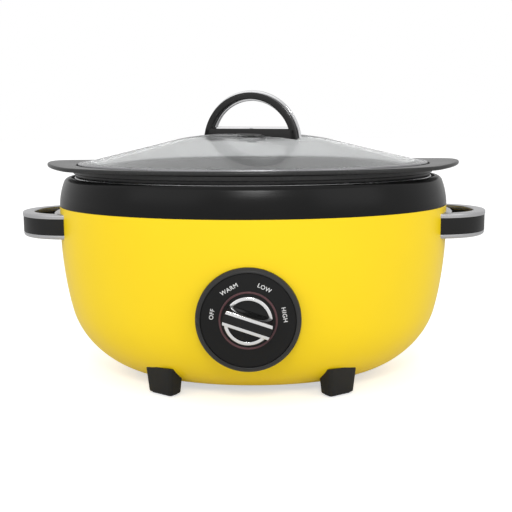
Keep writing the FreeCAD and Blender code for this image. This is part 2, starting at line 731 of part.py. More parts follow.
def dial_bezel():
    """Bevelled ring round the dial plate."""
    inner = BEZEL_RADIUS - BEZEL_WIDTH
    back = -PANEL_FACE
    front = -BEZEL_FACE
    profile = [
        (inner, back, 0),
        (BEZEL_RADIUS, back, 0),
        (BEZEL_RADIUS, front - BEZEL_BEVEL, BEZEL_BEVEL / 2),
        (BEZEL_RADIUS - BEZEL_BEVEL, front, BEZEL_BEVEL / 4),
        (inner, front, BEZEL_BEVEL / 4),
    ]
    ring = Part.Face(rounded(profile)).revolve(V(0, 0, 0), V(0, 0, 1), 360)
    return facing_dial(ring, 0.0)


def facing_dial(shape, plane):
    """Shape built round the Z axis, turned to face the front with its zero height at a plane of Y."""
    shape.rotate(V(0, 0, 0), V(1, 0, 0), 90)
    shape.translate(V(0, plane, DIAL_HEIGHT))
    return shape


def dial_plate():
    """Printed disc inside the bezel."""
    plate = forward(BEZEL_RADIUS - BEZEL_WIDTH - FIT_GAP, PANEL_FACE, DIAL_FACE)
    return plate.cut(forward(BUSH_RADIUS + BUSH_HOLE_GAP, 0, BEZEL_FACE))


def knob_ring():
    """Thin ring on the dial plate round the knob."""
    ring = forward(KNOB_RING_RADIUS, DIAL_FACE, DIAL_FACE - KNOB_RING_HEIGHT)
    return ring.cut(forward(KNOB_RING_RADIUS - KNOB_RING_WIDTH, 0, BEZEL_FACE - KNOB_RING_HEIGHT))


def knob_bar(width_top, width_base, bottom, top):
    """Grip bar with sloping sides across the knob, in the knob's own upright frame."""
    section = Part.makePolygon(
        [
            V(-KNOB_RADIUS, -width_base / 2, bottom),
            V(-KNOB_RADIUS, width_base / 2, bottom),
            V(-KNOB_RADIUS, width_top / 2, top),
            V(-KNOB_RADIUS, -width_top / 2, top),
            V(-KNOB_RADIUS, -width_base / 2, bottom),
        ]
    )
    bar = Part.Face(section).extrude(V(2 * KNOB_RADIUS, 0, 0))
    return bar.common(upright(KNOB_RADIUS, bottom, top))


def on_knob(shape):
    """Knob piece turned to its rest setting and set in front of the dial plate."""
    shape.rotate(V(0, 0, 0), V(0, 0, 1), KNOB_TURN)
    return facing_dial(shape, DIAL_FACE - KNOB_GAP)


def knob_core():
    """Black floor, hub and core of the knob in its own upright frame."""
    floor_radius = KNOB_RADIUS - KNOB_RING_BAND
    floor = upright(floor_radius, 0, KNOB_FLOOR_HEIGHT)
    core_top = KNOB_HEIGHT - INSERT_DEPTH
    length = 2 * (KNOB_RADIUS - KNOB_RING_BAND)
    core = box(length, BAR_CORE_WIDTH, core_top, V(0, 0, core_top / 2))
    return union([floor, core])


def knob_strip():
    """Black strip let into the top of the grip bar, in the knob's own upright frame."""
    strip = box(2 * KNOB_RADIUS, INSERT_WIDTH, INSERT_DEPTH, V(0, 0, KNOB_HEIGHT - INSERT_DEPTH / 2))
    return strip.common(upright(KNOB_RADIUS, 0, KNOB_HEIGHT))


def knob_cavity():
    """Hollow under the knob that clears the switch nut, in the knob's own upright frame."""
    nut_clearance = NUT_ACROSS_FLATS / math.sqrt(3) + FIT_GAP
    return upright(nut_clearance, -CUT_MARGIN, BUSH_PROUD + FIT_GAP)


def knob_trim():
    """Chrome rim and grip bar in one piece, over the black core."""
    rim = upright(KNOB_RADIUS, 0, KNOB_RIM_HEIGHT)
    rim = rim.cut(upright(KNOB_RADIUS - KNOB_RING_BAND, 0, KNOB_RIM_HEIGHT))
    bar = knob_bar(BAR_TOP_WIDTH, BAR_BASE_WIDTH, KNOB_FLOOR_HEIGHT, KNOB_HEIGHT)
    trim = rim.fuse(bar).cut([knob_core(), knob_strip(), knob_cavity()])
    return on_knob(trim.removeSplitter())


def knob_body():
    """Black base of the knob, bored for the shaft."""
    return on_knob(knob_core().cut(knob_cavity())).cut(switch_shaft())


def knob_insert():
    """Black strip along the grip bar."""
    return on_knob(knob_strip())


def shaft_bar(radius, back, front):
    """Round bar on the dial's axis with a flat along it."""
    bar = forward(radius, back, front)
    flat_height = DIAL_HEIGHT + radius - SHAFT_FLAT
    flat = box(2 * radius, 2 * abs(front), 2 * radius, V(0, front, flat_height + radius))
    return bar.cut(flat)


def switch_shaft():
    """Shaft from the contact rotor to the knob."""
    back = SWITCH_BACK - ROTOR_GAP
    tip = DIAL_FACE - KNOB_GAP - BUSH_PROUD - SHAFT_GRIP
    return shaft_bar(SHAFT_RADIUS, back, tip)


def contact_rotor():
    """Contact disc fixed on the shaft's end inside the switch."""
    front = SWITCH_BACK - ROTOR_GAP - ROTOR_THICKNESS
    disc = forward(ROTOR_RADIUS, SWITCH_BACK - ROTOR_GAP, front)
    return disc.cut(switch_shaft())


def switch_housing():
    """Moulded switch case behind the web, with a threaded bush through the dial plate."""
    case = box(SWITCH_SIDE, SWITCH_DEPTH, SWITCH_SIDE, V(0, WEB_BACK + SWITCH_DEPTH / 2, DIAL_HEIGHT))
    chamber = forward(ROTOR_RADIUS + ROTOR_GAP, SWITCH_BACK, WEB_BACK + SWITCH_WALL)
    bush = forward(BUSH_RADIUS, WEB_BACK, DIAL_FACE - BUSH_PROUD)
    bore = forward(SHAFT_RADIUS + SHAFT_RUNNING_GAP, SWITCH_BACK, BEZEL_FACE - BUSH_PROUD)
    return case.fuse(bush).cut([chamber, bore])


def switch_cover():
    """Rear plate that closes the switch."""
    depth = SWITCH_COVER
    return box(SWITCH_SIDE, depth, SWITCH_SIDE, V(0, SWITCH_BACK + depth / 2, DIAL_HEIGHT))


def switch_nut():
    """Nut on the bush, in front of the dial plate and under the knob."""
    nut = hexagon(NUT_ACROSS_FLATS, 0, NUT_THICKNESS).cut(upright(BUSH_RADIUS, 0, NUT_THICKNESS))
    return facing_dial(nut, DIAL_FACE)


def tab_places():
    """X of the switch's three terminals."""
    return [-TAB_SPACING, 0.0, TAB_SPACING]


def switch_tab_tip():
    """Lowest point of the switch's terminals."""
    return DIAL_HEIGHT - SWITCH_SIDE / 2 - TAB_LENGTH


def switch_tab_plane():
    """Y of the switch's terminals."""
    return WEB_BACK + SWITCH_DEPTH / 2


def switch_terminals():
    """Terminal tabs under the switch."""
    height = DIAL_HEIGHT - SWITCH_SIDE / 2 - TAB_LENGTH / 2
    return [box(TAB_WIDTH, TAB_THICKNESS, TAB_LENGTH, V(x, switch_tab_plane(), height)) for x in tab_places()]


def wrap(inner, outer, bottom, top):
    """Layer round the well between two distances from its wall and two heights."""
    return well_body(outer).cut(well_body(inner)).common(slab(bottom, top))


def heater_band():
    """Flat heating element round the well, split at the back for its terminals."""
    band = wrap(WRAP_GAP, WRAP_GAP + HEATER_THICKNESS, HEATER_BOTTOM, HEATER_TOP)
    split = box(HEATER_SPLIT, HALF_DEPTH, 2 * HEATER_TOP, V(0, HALF_DEPTH, HEATER_TOP))
    return band.cut(split)


def strap_inner():
    """Distance of the strap from the well's wall."""
    return WRAP_GAP + HEATER_THICKNESS + WRAP_GAP


def heater_strap():
    """Steel strap that clamps the heater band to the well."""
    return wrap(strap_inner(), strap_inner() + STRAP_THICKNESS, STRAP_BOTTOM, STRAP_BOTTOM + STRAP_WIDTH)


def insulation_wrap():
    """Glass-fibre wrap round the heater, with windows for the switch and the gland."""
    inner = strap_inner() + STRAP_THICKNESS + WRAP_GAP
    layer = wrap(inner, inner + INSULATION_THICKNESS, INSULATION_BOTTOM, INSULATION_TOP)
    windows = [
        forward(SPIGOT_RADIUS + WINDOW_MARGIN, 0, BEZEL_FACE),
        forward(GLAND_FLANGE_RADIUS + WINDOW_MARGIN, 2 * HALF_DEPTH, 0, 0, GLAND_HEIGHT),
    ]
    return layer.cut(windows)


def heater_tab_plane():
    """Y of the middle of the heater's terminals, under the band."""
    line = Part.makeLine(V(0, 0, HEATER_BOTTOM), V(0, HALF_DEPTH, HEATER_BOTTOM)).common(well_body(WRAP_GAP))
    return line.BoundBox.YMax + HEATER_THICKNESS / 2


def heater_tab_offset():
    """X of the heater's right-hand terminal."""
    return HEATER_SPLIT / 2 + TAB_WIDTH


def heater_terminals():
    """Pair of tabs below the heater band, either side of its split."""
    height = HEATER_BOTTOM - TAB_LENGTH / 2
    places = (-heater_tab_offset(), heater_tab_offset())
    return [box(TAB_WIDTH, TAB_THICKNESS, TAB_LENGTH, V(x, heater_tab_plane(), height)) for x in places]


def base_plate():
    """Oval cover under the casing's bottom flange."""
    half_width = BOTTOM_OPENING_HALF_WIDTH + BASE_PLATE_LAP
    half_depth = OPENING_HALF_DEPTH + BASE_PLATE_LAP
    plate = oval_disc(half_width, CASING_BOTTOM - BASE_PLATE_THICKNESS, CASING_BOTTOM, half_depth)
    return plate.cut(upright(TIE_RADIUS + HOLE_GAP, 0, CASING_BOTTOM + CUT_MARGIN))


def tie_stud():
    """Stud from the well's floor down through the base plate."""
    bottom = CASING_BOTTOM - BASE_PLATE_THICKNESS - TIE_WASHER_THICKNESS - TIE_NUT_HEIGHT
    return upright(TIE_RADIUS, bottom, WELL_FLOOR - WELL_WALL)


def tie_washer():
    """Washer under the base plate."""
    top = CASING_BOTTOM - BASE_PLATE_THICKNESS
    ring = upright(TIE_WASHER_RADIUS, top - TIE_WASHER_THICKNESS, top)
    return ring.cut(upright(TIE_RADIUS + HOLE_GAP, 0, top))


def tie_nut():
    """Nut on the stud's end."""
    top = CASING_BOTTOM - BASE_PLATE_THICKNESS - TIE_WASHER_THICKNESS
    nut = hexagon(TIE_NUT_ACROSS_FLATS, top - TIE_NUT_HEIGHT, top)
    return nut.cut(upright(TIE_RADIUS, 0, top))


def at_foot(shape):
    """Foot piece turned and moved to its place at the front right."""
    shape.rotate(V(0, 0, 0), V(0, 0, 1), FOOT_TURN)
    shape.translate(V(FOOT_X, -FOOT_Y, 0))
    return shape


def block_wire(length, depth, height):
    """Rounded rectangle at a height."""
    corners = [
        (-length / 2, -depth / 2, FOOT_CORNER_RADIUS),
        (length / 2, -depth / 2, FOOT_CORNER_RADIUS),
        (length / 2, depth / 2, FOOT_CORNER_RADIUS),
        (-length / 2, depth / 2, FOOT_CORNER_RADIUS),
    ]
    wire = rounded(corners)
    wire.rotate(V(0, 0, 0), V(1, 0, 0), 90)
    wire.translate(V(0, 0, height))
    return wire


def belly_height(outward):
    """Height of the casing's outer face over the front right foot screw, or a distance outward from it."""
    reach = 1 + outward / math.hypot(FOOT_X, FOOT_Y)
    x = FOOT_X * reach
    y = -FOOT_Y * reach
    line = Part.makeLine(V(x, y, 0), V(x, y, FLANK_CORNER_HEIGHT)).common(CASING_OUTER)
    return line.BoundBox.ZMin


def foot_bar(radius, bottom, top):
    """Round bar on the axis of the front right foot's screw."""
    return upright(radius, bottom, top, FOOT_X, -FOOT_Y)


def foot():
    """Tapered foot moulded to the casing's belly, with a recess for its pad and a hole for its screw."""
    top = belly_height(FOOT_DEPTH / 2)
    bottom_wire = block_wire(FOOT_LENGTH, FOOT_DEPTH, PAD_PROUD)
    top_wire = block_wire(FOOT_LENGTH + 2 * FOOT_FLARE, FOOT_DEPTH + 2 * FOOT_FLARE, top)
    block = at_foot(Part.makeLoft([bottom_wire, top_wire], True, True))
    recess = at_foot(box(PAD_LENGTH + FIT_GAP, PAD_DEPTH + FIT_GAP, 2 * PAD_HEIGHT, V(0, 0, 0)))
    head_room = foot_bar(FOOT_SCREW_HEAD_RADIUS + FIT_GAP, 0, PAD_HEIGHT + FOOT_SCREW_HEAD_HEIGHT)
    hole = foot_bar(FOOT_SCREW_RADIUS, 0, FLANK_CORNER_HEIGHT)
    return block.cut(CASING_OUTER).cut([recess, head_room, hole])


def foot_pad():
    """Rubber pad let into the foot's sole."""
    return at_foot(box(PAD_LENGTH, PAD_DEPTH, PAD_HEIGHT, V(0, 0, PAD_HEIGHT / 2)))


def foot_nut_top():
    """Height of the nut's flat top inside the casing."""
    return belly_height(FOOT_NUT_RADIUS) + CASING_WALL + FOOT_NUT_HEIGHT


def foot_screw():
    """Screw up through the foot and the casing into the nut."""
    head = foot_bar(FOOT_SCREW_HEAD_RADIUS, PAD_HEIGHT, PAD_HEIGHT + FOOT_SCREW_HEAD_HEIGHT)
    shank = foot_bar(FOOT_SCREW_RADIUS, PAD_HEIGHT, foot_nut_top())
    return union([head, shank])


def foot_nut():
    """Round weld nut on the casing's inner face."""
    nut = foot_bar(FOOT_NUT_RADIUS, 0, foot_nut_top()).common(CASING_INNER)
    return nut.cut(foot_bar(FOOT_SCREW_RADIUS, 0, FLANK_CORNER_HEIGHT))


def gland_seat(depth):
    """Y of the casing's back at the gland, at a depth below its paint."""
    line = Part.makeLine(V(0, 0, GLAND_HEIGHT), V(0, 2 * HALF_DEPTH, GLAND_HEIGHT))
    return line.common(casing_body(depth, CASING_BOTTOM)).BoundBox.YMax


def cord_gland():
    """Moulded cord bush in the back of the casing."""
    outside = gland_seat(0.0)
    inside = gland_seat(CASING_WALL)
    neck = forward(GLAND_NECK_RADIUS, outside + GLAND_PROUD, inside - GLAND_INNER_REACH, 0, GLAND_HEIGHT)
    collar = forward(GLAND_FLANGE_RADIUS, outside + GLAND_PROUD, outside - GLAND_PROUD, 0, GLAND_HEIGHT)
    collar = collar.cut(CASING_OUTER)
    bore = forward(GLAND_BORE_RADIUS, 2 * HALF_DEPTH, 0, 0, GLAND_HEIGHT)
    return neck.fuse(collar).cut(bore)


def terminal_block():
    """Ceramic terminal block on the base plate."""
    return box(BLOCK_LENGTH, BLOCK_DEPTH, BLOCK_HEIGHT, V(0, BLOCK_SETBACK, CASING_BOTTOM + BLOCK_HEIGHT / 2))


def fuse_height():
    """Height of the thermal fuse's axis, just under the well's floor."""
    return WELL_FLOOR - WELL_WALL - WRAP_GAP - FUSE_RADIUS


def thermal_fuse():
    """Thermal cut-out lying under the well's floor."""
    front = V(FUSE_OFFSET, -FUSE_LENGTH / 2, fuse_height())
    return Part.makeCylinder(FUSE_RADIUS, FUSE_LENGTH, front, V(0, 1, 0))


def fuse_clip():
    """Steel clip that holds the fuse up against the well."""
    outer = FUSE_RADIUS + WRAP_GAP + CLIP_THICKNESS
    well_floor = WELL_FLOOR - WELL_WALL
    front = V(FUSE_OFFSET, -CLIP_WIDTH / 2, fuse_height())
    saddle = Part.makeCylinder(outer, CLIP_WIDTH, front, V(0, 1, 0))
    cheeks = box(2 * outer, CLIP_WIDTH, outer, V(FUSE_OFFSET, 0, fuse_height() + outer / 2))
    flange_height = well_floor - CLIP_THICKNESS / 2
    flange = box(2 * (outer + CLIP_FLANGE), CLIP_WIDTH, CLIP_THICKNESS, V(FUSE_OFFSET, 0, flange_height))
    room = FUSE_RADIUS + WRAP_GAP
    bore = Part.makeCylinder(room, CLIP_WIDTH, front, V(0, 1, 0))
    throat = box(2 * room, CLIP_WIDTH, 2 * room, V(FUSE_OFFSET, 0, fuse_height() + room))
    return saddle.fuse([cheeks, flange]).cut([bore, throat]).common(slab(0, well_floor))


def lead(points):
    """Insulated wire through a list of points, each turn as large an arc as its two runs allow."""
    edges = []
    start = points[0]
    for before, corner, after in zip(points, points[1:], points[2:]):
        to_last = (before - corner).normalize()
        to_next = (after - corner).normalize()
        setback = LEAD_BEND_SHARE * min(before.distanceToPoint(corner), after.distanceToPoint(corner))
        half_angle = to_last.getAngle(to_next) / 2
        radius = setback * math.tan(half_angle)
        inward = (to_last + to_next).normalize()
        middle = corner + inward * (radius / math.sin(half_angle) - radius)
        end = corner + to_next * setback
        edges.append(Part.LineSegment(start, corner + to_last * setback).toShape())
        edges.append(Part.Arc(corner + to_last * setback, middle, end).toShape())
        start = end
    edges.append(Part.LineSegment(start, points[-1]).toShape())
    path = Part.Wire(edges)
    ring = Part.Wire(Part.Circle(points[0], points[1] - points[0], LEAD_RADIUS).toShape())
    return path.makePipeShell([ring], True, False)


def lead_wires():
    """Wires from the switch to the terminal block and the fuse, and from the heater to both."""
    switch_tip = switch_tab_tip()
    switch_plane = switch_tab_plane()
    front_turn = SPIGOT_BACK + LEAD_STANDOFF
    block_front = BLOCK_SETBACK - BLOCK_DEPTH / 2
    block_back = BLOCK_SETBACK + BLOCK_DEPTH / 2
    block_middle = CASING_BOTTOM + BLOCK_HEIGHT / 2
    heater_x = heater_tab_offset()
    heater_tip = HEATER_BOTTOM - TAB_LENGTH
    heater_plane = heater_tab_plane()
    fuse_end = FUSE_LENGTH / 2
    fuse_turn = fuse_end + LEAD_STANDOFF
    fuse_dip = fuse_turn + fuse_height() - LEAD_HEIGHT
    supply = [
        V(-TAB_SPACING, switch_plane, switch_tip),
        V(-TAB_SPACING, switch_plane, switch_tip - LEAD_DROP),
        V(-TAB_SPACING, front_turn, switch_tip - LEAD_DROP),
        V(-TAB_SPACING, front_turn, LEAD_HEIGHT),
        V(-TAB_SPACING, block_front - LEAD_STANDOFF, LEAD_HEIGHT),
        V(-TAB_SPACING, block_front - LEAD_STANDOFF, block_middle),
        V(-TAB_SPACING, block_front, block_middle),
    ]
    to_fuse = [
        V(TAB_SPACING, switch_plane, switch_tip),
        V(TAB_SPACING, switch_plane, switch_tip - LEAD_DROP),
        V(TAB_SPACING, front_turn, switch_tip - LEAD_DROP),
        V(TAB_SPACING, front_turn, LEAD_HEIGHT),
        V(FUSE_OFFSET, -fuse_dip, LEAD_HEIGHT),
        V(FUSE_OFFSET, -fuse_turn, fuse_height()),
        V(FUSE_OFFSET, -fuse_end, fuse_height()),
    ]
    from_fuse = [
        V(FUSE_OFFSET, fuse_end, fuse_height()),
        V(FUSE_OFFSET, fuse_turn, fuse_height()),
        V(FUSE_OFFSET, fuse_dip, LEAD_HEIGHT),
        V(heater_x, heater_plane, LEAD_HEIGHT),
        V(heater_x, heater_plane, heater_tip),
    ]
    to_block = [
        V(-heater_x, heater_plane, heater_tip),
        V(-heater_x, heater_plane, LEAD_HEIGHT),
        V(-heater_x, block_back + LEAD_STANDOFF, LEAD_HEIGHT),
        V(-heater_x, block_back + LEAD_STANDOFF, block_middle),
        V(-heater_x, block_back, block_middle),
    ]
    return [lead(path) for path in (supply, to_fuse, from_fuse, to_block)]


def nodes():
    """Every piece by name."""
    right_grip = handle_grip_right()
    right_top = handle_top_trim_right()
    right_bottom = handle_bottom_trim_right()
    right_screws = handle_screws_right()
    right_plate = handle_backing_plate_right()
    screws = at_corners(foot_screw())
    nuts = at_corners(foot_nut())
    pieces = {
        "outer_casing": outer_casing(),
        "top_collar": top_collar(),
        "heating_well": heating_well(),
        "heater_band": heater_band(),
        "heater_strap": heater_strap(),
        "heater_terminals": Part.makeCompound(heater_terminals()),
        "insulation_wrap": insulation_wrap(),
        "base_plate": base_plate(),
        "tie_stud": tie_stud(),
        "tie_washer": tie_washer(),
        "tie_nut": tie_nut(),
        "right_handle_grip": right_grip,
        "right_handle_top_trim": right_top,
        "right_handle_bottom_trim": right_bottom,
        "left_handle_grip": mirrored_x(right_grip),
        "left_handle_top_trim": mirrored_x(right_top),
        "left_handle_bottom_trim": mirrored_x(right_bottom),
        "handle_screws": Part.makeCompound(right_screws + [mirrored_x(s) for s in right_screws]),
        "handle_backing_plates": Part.makeCompound([right_plate, mirrored_x(right_plate)]),
        "panel_housing": panel_housing(),
        "dial_bezel": dial_bezel(),
        "dial_plate": dial_plate(),
        "knob_ring": knob_ring(),
        "switch_housing": switch_housing(),
        "switch_cover": switch_cover(),
        "switch_nut": switch_nut(),
        "switch_terminals": Part.makeCompound(switch_terminals()),
        "switch_shaft": switch_shaft(),
        "contact_rotor": contact_rotor(),
        "knob_body": knob_body(),
        "knob_trim": knob_trim(),
        "knob_insert": knob_insert(),
        "thermal_fuse": thermal_fuse(),
        "fuse_clip": fuse_clip(),
        "terminal_block": terminal_block(),
        "lead_wires": Part.makeCompound(lead_wires()),
        "cord_gland": cord_gland(),
        "cooking_pot": cooking_pot(),
        "lid_glass": lid_glass(),
        "lid_rim": lid_rim(),
        "lid_handle_frame": lid_handle_frame(),
        "lid_handle_front_grip": lid_handle_grip(-1),
        "lid_handle_rear_grip": lid_handle_grip(1),
        "lid_handle_pad": lid_handle_pad(),
        "lid_under_washer": lid_under_washer(),
        "lid_handle_screw": lid_screw(),
        "foot_screws": Part.makeCompound(list(screws.values())),
        "foot_nuts": Part.makeCompound(list(nuts.values())),
    }
    for corner, shape in at_corners(foot()).items():
        pieces["foot_" + corner] = shape
    for corner, shape in at_corners(foot_pad()).items():
        pieces["foot_pad_" + corner] = shape
    return pieces


os.makedirs("parts", exist_ok=True)
for node, shape in nodes().items():
    print(f"{node}: {len(shape.Solids)} solid, {shape.Volume / 1000:.2f} cm3, valid {shape.isValid()}")
    shape.exportStep(f"parts/{node}.step")
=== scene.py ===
"""Oval slow cooker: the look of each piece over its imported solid.

Sizes are in millimetres until a piece is set in its place.
"""

import math

import bmesh
import bpy
from mathutils import Matrix, Vector


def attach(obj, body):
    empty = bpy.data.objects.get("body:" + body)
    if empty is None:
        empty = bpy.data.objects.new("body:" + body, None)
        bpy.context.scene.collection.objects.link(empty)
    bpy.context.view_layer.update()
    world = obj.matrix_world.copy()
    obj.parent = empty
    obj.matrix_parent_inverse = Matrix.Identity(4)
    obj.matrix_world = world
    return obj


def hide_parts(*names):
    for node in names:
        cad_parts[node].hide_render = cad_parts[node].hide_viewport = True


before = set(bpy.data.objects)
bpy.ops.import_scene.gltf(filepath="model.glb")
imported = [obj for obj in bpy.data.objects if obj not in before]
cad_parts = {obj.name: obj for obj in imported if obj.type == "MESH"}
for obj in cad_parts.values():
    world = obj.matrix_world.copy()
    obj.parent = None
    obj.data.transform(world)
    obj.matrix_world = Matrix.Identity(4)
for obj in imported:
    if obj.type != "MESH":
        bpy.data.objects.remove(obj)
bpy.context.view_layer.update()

# The table it stands on: a wide white studio sweep under broad soft lamps, seen nearly square on
# from a little above the collar.
scene = bpy.context.scene
scene.view_settings.view_transform = "Standard"
WHITE = (1, 1, 1, 1)
TABLE_RADIUS = 6.0
TABLE_DROP = 0.0004
TABLE_COLOUR = (0.75, 0.75, 0.75, 1)
TABLE_GLOW = 0.55
ROOM_LIGHT = 0.80
LAMP_AIM = Vector((0, 0, 0.12))
EYE_DISTANCE = 0.9063
EYE_HEIGHT = 0.2554
EYE_TURN = math.radians(1.8)
EYE_TILT = math.radians(9.1)
EYE_ROLL = math.radians(0.4)
FRAME_PIXELS = 512
LENS_PIXELS = 950
SIDE_SHIFT_PIXELS = 3


def seen_directly(nodes, links):
    """One for rays from the eye or through glass, and nought for the rest."""
    path = nodes.new("ShaderNodeLightPath")
    either = nodes.new("ShaderNodeMath")
    either.operation = "MAXIMUM"
    links.new(path.outputs["Is Camera Ray"], either.inputs[0])
    links.new(path.outputs["Is Transmission Ray"], either.inputs[1])
    return either.outputs[0]


def shift(bm, x, y, z):
    """Moves a whole mesh."""
    bmesh.ops.translate(bm, vec=(x, y, z), verts=bm.verts)


bm = bmesh.new()
bmesh.ops.create_circle(bm, cap_ends=True, radius=TABLE_RADIUS, segments=128)
shift(bm, 0, 0, -TABLE_DROP)
table_mesh = bpy.data.meshes.new("table")
bm.to_mesh(table_mesh)
bm.free()
table = bpy.data.objects.new("table", table_mesh)
scene.collection.objects.link(table)
white_sweep = bpy.data.materials.new("white_sweep")
white_sweep.use_nodes = True
nodes, links = white_sweep.node_tree.nodes, white_sweep.node_tree.links
nodes.clear()
matt = nodes.new("ShaderNodeBsdfDiffuse")
matt.inputs["Color"].default_value = TABLE_COLOUR
glow = nodes.new("ShaderNodeEmission")
glow.inputs["Strength"].default_value = TABLE_GLOW
lit = nodes.new("ShaderNodeAddShader")
links.new(matt.outputs[0], lit.inputs[0])
links.new(glow.outputs[0], lit.inputs[1])
choice = nodes.new("ShaderNodeMixShader")
links.new(seen_directly(nodes, links), choice.inputs["Fac"])
links.new(matt.outputs[0], choice.inputs[1])
links.new(lit.outputs[0], choice.inputs[2])
links.new(choice.outputs[0], nodes.new("ShaderNodeOutputMaterial").inputs["Surface"])
table_mesh.materials.append(white_sweep)

world = bpy.data.worlds.new("studio")
scene.world = world
world.use_nodes = True
nodes, links = world.node_tree.nodes, world.node_tree.links
nodes.clear()
room = nodes.new("ShaderNodeBackground")
room.inputs["Color"].default_value = WHITE
room.inputs["Strength"].default_value = ROOM_LIGHT
backdrop = nodes.new("ShaderNodeBackground")
backdrop.inputs["Color"].default_value = WHITE
choice = nodes.new("ShaderNodeMixShader")
links.new(seen_directly(nodes, links), choice.inputs["Fac"])
links.new(room.outputs[0], choice.inputs[1])
links.new(backdrop.outputs[0], choice.inputs[2])
links.new(choice.outputs[0], nodes.new("ShaderNodeOutputWorld").inputs["Surface"])

for name, place, side, watts in (
    ("key_softbox", (-1.3, -1.4, 1.3), 1.6, 5),
    ("fill_softbox", (1.5, -1.3, 1.1), 1.4, 5),
    ("front_softbox", (0.06, -1.9, 1.32), 0.4, 12),
):
    lamp_data = bpy.data.lights.new(name, "AREA")
    lamp_data.shape = "SQUARE"
    lamp_data.size = side
    lamp_data.energy = watts
    lamp = bpy.data.objects.new(name, lamp_data)
    lamp.location = place
    lamp.rotation_euler = (LAMP_AIM - Vector(place)).to_track_quat("-Z", "Y").to_euler()
    scene.collection.objects.link(lamp)

eye_data = bpy.data.cameras.new("eye")
eye_data.sensor_width = 36.0
eye_data.lens = LENS_PIXELS * eye_data.sensor_width / FRAME_PIXELS
eye_data.shift_x = SIDE_SHIFT_PIXELS / FRAME_PIXELS
eye_data.clip_start = 0.05
eye = bpy.data.objects.new("eye", eye_data)
eye.matrix_world = (
    Matrix.Translation((math.sin(EYE_TURN) * EYE_DISTANCE, -math.cos(EYE_TURN) * EYE_DISTANCE, EYE_HEIGHT))
    @ Matrix.Rotation(EYE_TURN, 4, "Z")
    @ Matrix.Rotation(math.radians(90) - EYE_TILT, 4, "X")
    @ Matrix.Rotation(-EYE_ROLL, 4, "Z")
)
scene.collection.objects.link(eye)
scene.camera = eye

# The outer casing: a deep oval bowl pressed from sheet steel, its flanks drawn in to a round belly
# and its bottom turned in as a flange. It is enamelled in a bright even yellow.
MM = 0.001
HALF_WIDTH = 183.0
HALF_DEPTH = 137.25
OVAL_DROP = HALF_WIDTH - HALF_DEPTH
CASING_TOP = 161.8
CASING_BOTTOM = 8.5
CASING_WALL = 1.0
FLANK_CORNER_HEIGHT = 102.0
FLANK_ROUNDING = 285.0
BELLY_CORNER = 159.6
BELLY_CORNER_HEIGHT = 4.2
BELLY_ROUNDING = 78.0
BOTTOM_OPENING = 100.0
DIAL_HEIGHT = 78.6
DIAL_OPENING = 37.3
ENAMEL_YELLOW = (0.965, 0.685, 0.0060)
MERGE_GAP = 0.0005
CREASE = math.radians(32.0)


def turn(bm, angle, axis):
    """Turns a whole mesh about one of the axes."""
    bmesh.ops.rotate(bm, cent=(0, 0, 0), matrix=Matrix.Rotation(angle, 3, axis), verts=bm.verts)


def turned(points, steps=192, segments=16, closed=False, start=0.0, end=360.0):
    """Shell turned round the upright axis from (radius, height, corner radius) points."""
    bm = bmesh.new()
    places = [Vector((radius, 0, height)) for radius, height, corner in points]
    line = [bm.verts.new(place) for place in places]
    for first, second in zip(line, line[1:]):
        bm.edges.new((first, second))
    if closed:
        bm.edges.new((line[-1], line[0]))
    for i, (radius, height, corner) in enumerate(points):
        if corner:
            last, following = places[i - 1], places[(i + 1) % len(places)]
            half_angle = (last - places[i]).angle(following - places[i]) / 2
            bmesh.ops.bevel(
                bm,
                geom=[line[i]],
                offset=corner / math.tan(half_angle),
                offset_type="OFFSET",
                segments=segments,
                profile=0.5,
                affect="VERTICES",
                material=-1,
            )
    full = end - start == 360.0
    turn(bm, math.radians(start), "Z")
    bmesh.ops.spin(
        bm,
        geom=bm.verts[:] + bm.edges[:],
        cent=(0, 0, 0),
        axis=(0, 0, 1),
        angle=math.radians(end - start),
        steps=steps,
        use_merge=full,
    )
    bmesh.ops.remove_doubles(bm, verts=bm.verts, dist=MERGE_GAP)
    if closed and not full:
        bmesh.ops.holes_fill(bm, edges=[edge for edge in bm.edges if edge.is_boundary])
    bmesh.ops.recalc_face_normals(bm, faces=bm.faces)
    return bm


def squeeze(bm, half_depth_of):
    """Draws a round shell in from front to back, each ring to the half-depth for its radius and height."""
    for vert in bm.verts:
        radius = math.hypot(vert.co.x, vert.co.y)
        if radius > 0.001:
            vert.co.y *= half_depth_of(radius, vert.co.z) / radius


def piece(name, bm, material, body, *nodes, slot):
    """Object from a finished mesh in millimetres, riding on its body in place of its solids."""
    bmesh.ops.scale(bm, vec=(MM, MM, MM), verts=bm.verts)
    for face in bm.faces:
        face.smooth = True
    for edge in bm.edges:
        edge.smooth = edge.calc_face_angle(0.0) < CREASE
    mesh = bpy.data.meshes.new(name)
    bm.to_mesh(mesh)
    bm.free()
    mesh.materials.append(material)
    made = bpy.data.objects.new(name, mesh)
    scene.collection.objects.link(made)
    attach(made, body)
    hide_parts(*nodes)


def finish_of(name, roughness, metallic=0.0, specular=0.5):
    """New material with its shader set for a surface that is the same all over."""
    material = bpy.data.materials.new(name)
    material.use_nodes = True
    shader = material.node_tree.nodes["Principled BSDF"]
    shader.inputs["Roughness"].default_value = roughness
    shader.inputs["Metallic"].default_value = metallic
    shader.inputs["Specular IOR Level"].default_value = specular
    return material


